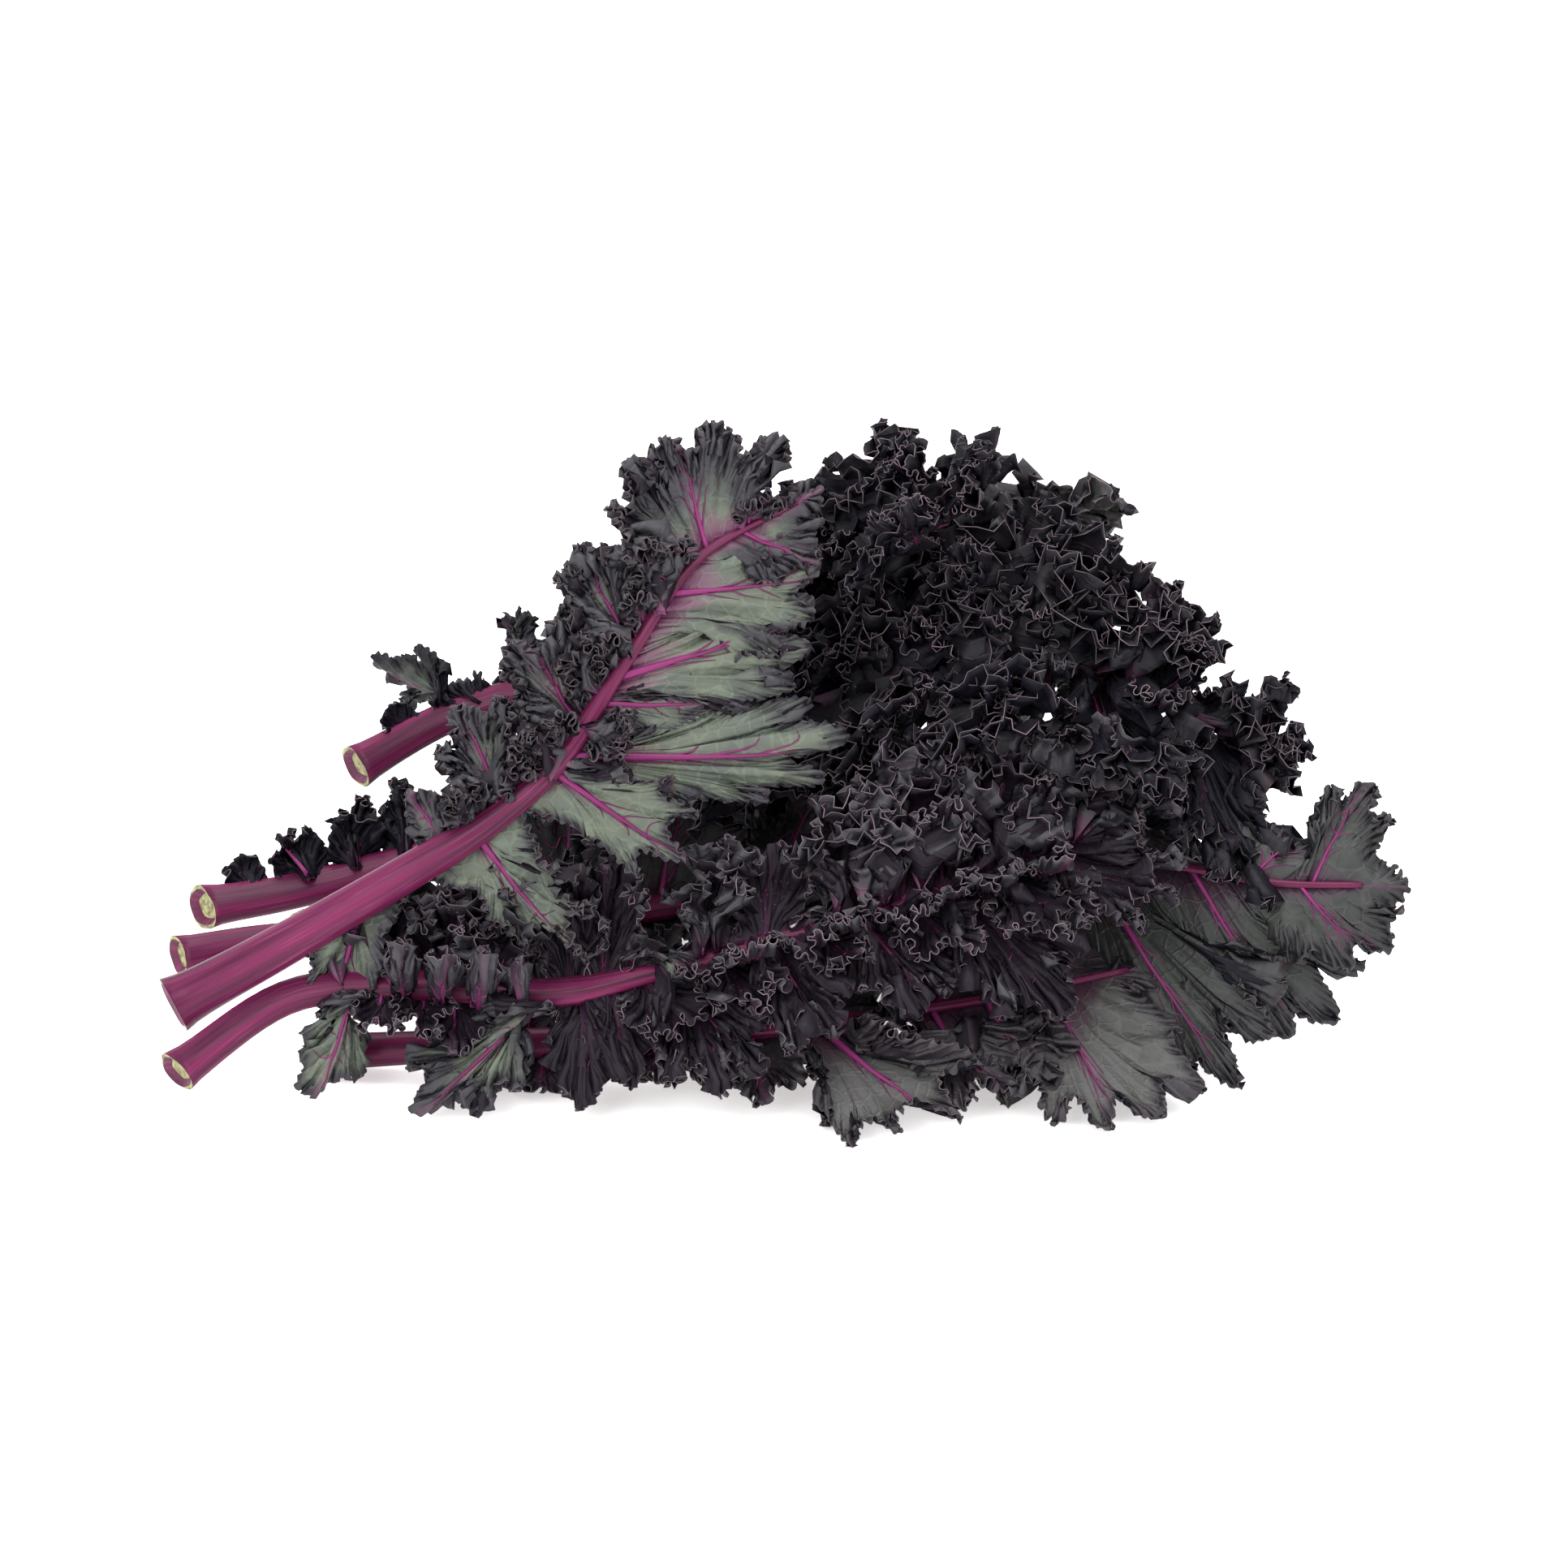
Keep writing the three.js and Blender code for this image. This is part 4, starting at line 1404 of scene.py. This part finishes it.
            Lobe(0.305, R, 24, 85, fan=50, foot=2, web=2, lift=5),
            Lobe(0.285, R, 22, 90, fan=50, foot=2, web=2, lift=0.6, sag=0.3),
            Lobe(0.265, R, 24, 85, fan=50, foot=2, web=2, lift=5),
            Lobe(0.245, R, 20, 95, fan=50, foot=2, web=2, lift=0.3, sag=0.3),
            Lobe(
                0.225, R, 33, 104, fan=48, edge=0.55, foot=2, web=2, lift=1.0, sag=0.35, turn=165, dusk=0.12
            ),
        ),
        seed=59, face="plum", back="green", dusk=5, halves=True, seat=-0.15, frills=TIGHT,
    ),
    Leaf(
        name="bed_leaf",
        points=(
            (-145, -55, 6), (-114, -58, 9), (-61, -64, 14), (-16, -70, 20),
            (14, -72, 24), (50, -66, 27), (79, -60, 30), (108, -52, 33),
        ),
        facing=((0, 0.5, -0.85), (0, 0.5, -0.85)),
        butt=6.0, neck=4.8, foot=0.38,
        lobes=(
            spill(0.16, L, 18, 100, foot=2, web=2, lift=0, curl=0),
            spill(0.21, L, 22, 95, foot=2, web=3, lift=-0.5, curl=0),
            spill(0.27, L, 20, 90, foot=3, web=4, lift=0, curl=0),
            spill(0.305, L, 20, 88, fan=50, foot=2, web=2, lift=-5),
            spill(0.34, L, 18, 90, lift=-0.5, curl=0),
            spill(0.375, L, 20, 88, fan=50, foot=2, web=2, lift=-5),
            spill(0.41, L, 17, 84, lift=0, curl=0.1),
            spill(0.445, L, 20, 88, fan=50, foot=2, web=2, lift=-5),
            spill(0.48, L, 20, 80, lift=0, curl=0),
            spill(0.53, L, 26, 84, web=10, lift=0, curl=0),
            Lobe(
                0.61, L, 51, 54, fan=36, edge=0.75, lift=0.05, curl=0, web=14, roll=-0.6, dusk=0.7, detail=1.3
            ),
            spill(0.7, L, 22, 80, fan=50, foot=2, web=2, lift=-5),
            spill(0.75, L, 39, 76, web=14, lift=0, curl=0, dusk=3),
            spill(0.82, L, 34, 80, fan=50, foot=2, web=8, lift=-0.2),
            Lobe(0.9, L, 54, 88, fan=36, edge=0.75, curl=0, roll=-0.6, dusk=0.7, detail=1.3),
            Lobe(1.0, T, 38, -24, fan=40, edge=0.5),
            Lobe(0.9, R, 32, 55, dusk=4, detail=0.4),
            Lobe(0.76, R, 32, 65, dusk=4, detail=0.4),
            Lobe(0.6, R, 32, 70, dusk=4, detail=0.4),
            Lobe(0.44, R, 30, 80, dusk=4, detail=0.7),
            Lobe(0.33, R, 24, 85, foot=3, web=4, lift=-0.6, dusk=4),
            Lobe(0.25, R, 22, 90, foot=3, web=4, lift=-0.6, dusk=4),
            Lobe(0.18, R, 18, 95, foot=2, web=2, lift=-0.6, dusk=4),
        ),
        seed=61, edge="soft_rim", grain=Grain.MEDIUM, frills=CALM,
    ),
    Leaf(
        name="rear_leaf",
        points=((-96, 84, 46), (-70, 84, 64), (-40, 81, 84), (0, 74, 106), (50, 62, 130), (82, 48, 148)),
        facing=((0, 0.8, 0.5), (-0.2, 0.85, 0.4)),
        butt=5.6, neck=4.8, foot=0.1,
        lobes=(
            Lobe(0.1, L, 32, 82, roll=0.8),
            Lobe(0.28, L, 42, 75, roll=0.8),
            Lobe(0.46, L, 56, 70, web=20, roll=0.8),
            Lobe(0.64, L, 58, 65, web=24, roll=0.8),
            Lobe(0.84, L, 54, 55, web=26, roll=0.8),
            Lobe(1.0, T, 28, 0, fan=50, web=6, lift=0, curl=-0.2, dusk=0.06, detail=2),
            Lobe(0.86, R, 34, 55, web=14, roll=0.8),
            Lobe(0.68, R, 42, 62, web=14, roll=0.8),
            Lobe(0.5, R, 44, 70, roll=0.8),
            Lobe(0.32, R, 42, 75, roll=0.8),
            Lobe(0.12, R, 34, 85, roll=0.8),
        ),
        seed=73, back="grey", dusk=5, grain=Grain.COARSE, frills=BROAD,
    ),
    Leaf(
        name="rear_bed_leaf",
        points=(
            (-160, 48, 5), (-110, 65, 8), (-50, 77, 16), (10, 81, 28),
            (70, 72, 40), (108, 59, 48), (132, 48, 52),
        ),
        facing=((0, 0.5, 0.85), (0, 0.5, 0.85)),
        butt=6.2, neck=4.8, foot=0.3,
        lobes=(
            laid(0.25, L, 28, 80, sag=0.3, roll=0.6),
            laid(0.38, L, 34, 78, sag=0.4, roll=0.6),
            laid(0.5, L, 36, 74, sag=0.5, web=14, roll=0.6),
            laid(0.62, L, 36, 70, sag=0.6, web=14, roll=0.6),
            laid(0.74, L, 36, 65, sag=0.6, web=14, roll=0.6),
            Lobe(0.87, L, 34, 55, sag=0.6, web=14, roll=0.6),
            Lobe(1.0, T, 30, 0, fan=50, web=14, roll=0.6),
            Lobe(0.88, R, 50, 55, web=14, lift=1.0),
            Lobe(0.75, R, 52, 62, web=14, lift=1.0),
            Lobe(0.62, R, 52, 70, web=14, lift=1.0),
            Lobe(0.48, R, 42, 75, roll=0.6),
            Lobe(0.34, R, 34, 85, roll=0.6),
        ),
        seed=83, grain=Grain.COARSE, frills=BROAD,
    ),
    Leaf(
        name="core_leaf",
        points=((-118, 12, 6), (-80, 18, 8), (-20, 30, 14), (44, 32, 28), (86, 26, 40), (112, 20, 48)),
        facing=((0, -0.2, 1), (0.1, -0.2, 1)),
        butt=5.6, neck=4.6, foot=0.2,
        lobes=(
            Lobe(0.2, L, 40, 80, lift=1.0),
            Lobe(0.37, L, 52, 75, lift=1.1),
            Lobe(0.54, L, 56, 70, lift=1.1, web=16),
            Lobe(0.73, L, 54, 60, lift=1.1, web=16),
            Lobe(1.0, T, 32, 0, fan=50, web=16),
            Lobe(0.83, R, 44, 55, web=16),
            Lobe(0.64, R, 46, 66, lift=0.7, web=16),
            Lobe(0.45, R, 46, 74, lift=0.7),
            Lobe(0.25, R, 38, 82, lift=0.6),
        ),
        seed=97, back="shade", dusk=5, grain=Grain.COARSE, frills=BROAD,
    ),
)


@dataclass(frozen=True)
class Studio:
    """A pale table, large soft lamps and the camera."""

    floor: float = 12.0
    distance: float = 1.8
    elevation: float = 22.0
    target: tuple = (0.0, -2.5, 75.0)
    width_seen: float = 0.502
    sensor: float = 36.0

    def lay_floor(self) -> None:
        """Lays the table top of opal glass, lit softly from below."""
        bm = bmesh.new()
        bmesh.ops.create_grid(bm, x_segments=2, y_segments=2, size=self.floor / 2)
        mesh = bpy.data.meshes.new("table_top")
        bm.to_mesh(mesh)
        bm.free()
        material, _, shader = blank("lit_opal_glass")
        shader.inputs["Base Color"].default_value = linear("#f7f7f7")
        shader.inputs["Roughness"].default_value = 0.9
        shader.inputs["Emission Color"].default_value = linear("#fffafa")
        shader.inputs["Emission Strength"].default_value = 0.5
        floor = mesh_object("table_top", mesh, [material])

    def hang_lamps(self) -> None:
        """Hangs the soft boxes and lights the room evenly."""
        for name, place, size, power in (
            ("top_softbox", (0.0, 0.1, 1.7), 1.6, 36.0),
            ("front_left_softbox", (-1.1, -1.5, 1.1), 1.1, 20.0),
            ("front_right_softbox", (1.3, -1.2, 1.0), 1.1, 13.0),
        ):
            data = bpy.data.lights.new(name, "AREA")
            data.size = size
            data.energy = power
            lamp = bpy.data.objects.new(name, data)
            lamp.location = place
            lamp.rotation_euler = (-Vector(place)).to_track_quat("-Z", "Y").to_euler()
            bpy.context.scene.collection.objects.link(lamp)
        world = bpy.data.worlds.new("white_room")
        world.use_nodes = True
        world.node_tree.nodes["Background"].inputs["Color"].default_value = (1.0, 1.0, 1.0, 1.0)
        world.node_tree.nodes["Background"].inputs["Strength"].default_value = 1.4
        bpy.context.scene.world = world

    def set_camera(self) -> None:
        """Stands the camera in front of the bunch, a little above it."""
        tilt = math.radians(self.elevation)
        back = Vector((0.0, -math.cos(tilt), math.sin(tilt)))
        data = bpy.data.cameras.new("camera")
        data.sensor_width = self.sensor
        data.lens = self.sensor * self.distance / self.width_seen
        camera = bpy.data.objects.new("camera", data)
        camera.location = Vector(self.target) * MM + back * self.distance
        camera.rotation_euler = (-back).to_track_quat("-Z", "Y").to_euler()
        bpy.context.scene.collection.objects.link(camera)
        bpy.context.scene.camera = camera


def main() -> None:
    """Builds the bunch piece by piece and writes how large it is."""
    logging.basicConfig(level=logging.INFO, format="%(message)s")
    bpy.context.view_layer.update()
    bpy.context.scene.view_settings.view_transform = "Standard"
    studio = Studio()
    studio.set_camera()
    finishes = {name: finish.make() for name, finish in FINISHES.items()}
    for leaf in LEAVES:
        pieces = [(leaf.stalk(finishes), "stalk")] + [(blade, "blade") for blade in leaf.blades(finishes)]
        for piece, part in pieces:
            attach(piece, "root")
            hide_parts(f"{leaf.name}_{part}")
            LOG.info("%s: %d faces", piece.name, len(piece.data.polygons))
    studio.lay_floor()
    studio.hang_lamps()
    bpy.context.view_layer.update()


if __name__ == "__main__":
    main()
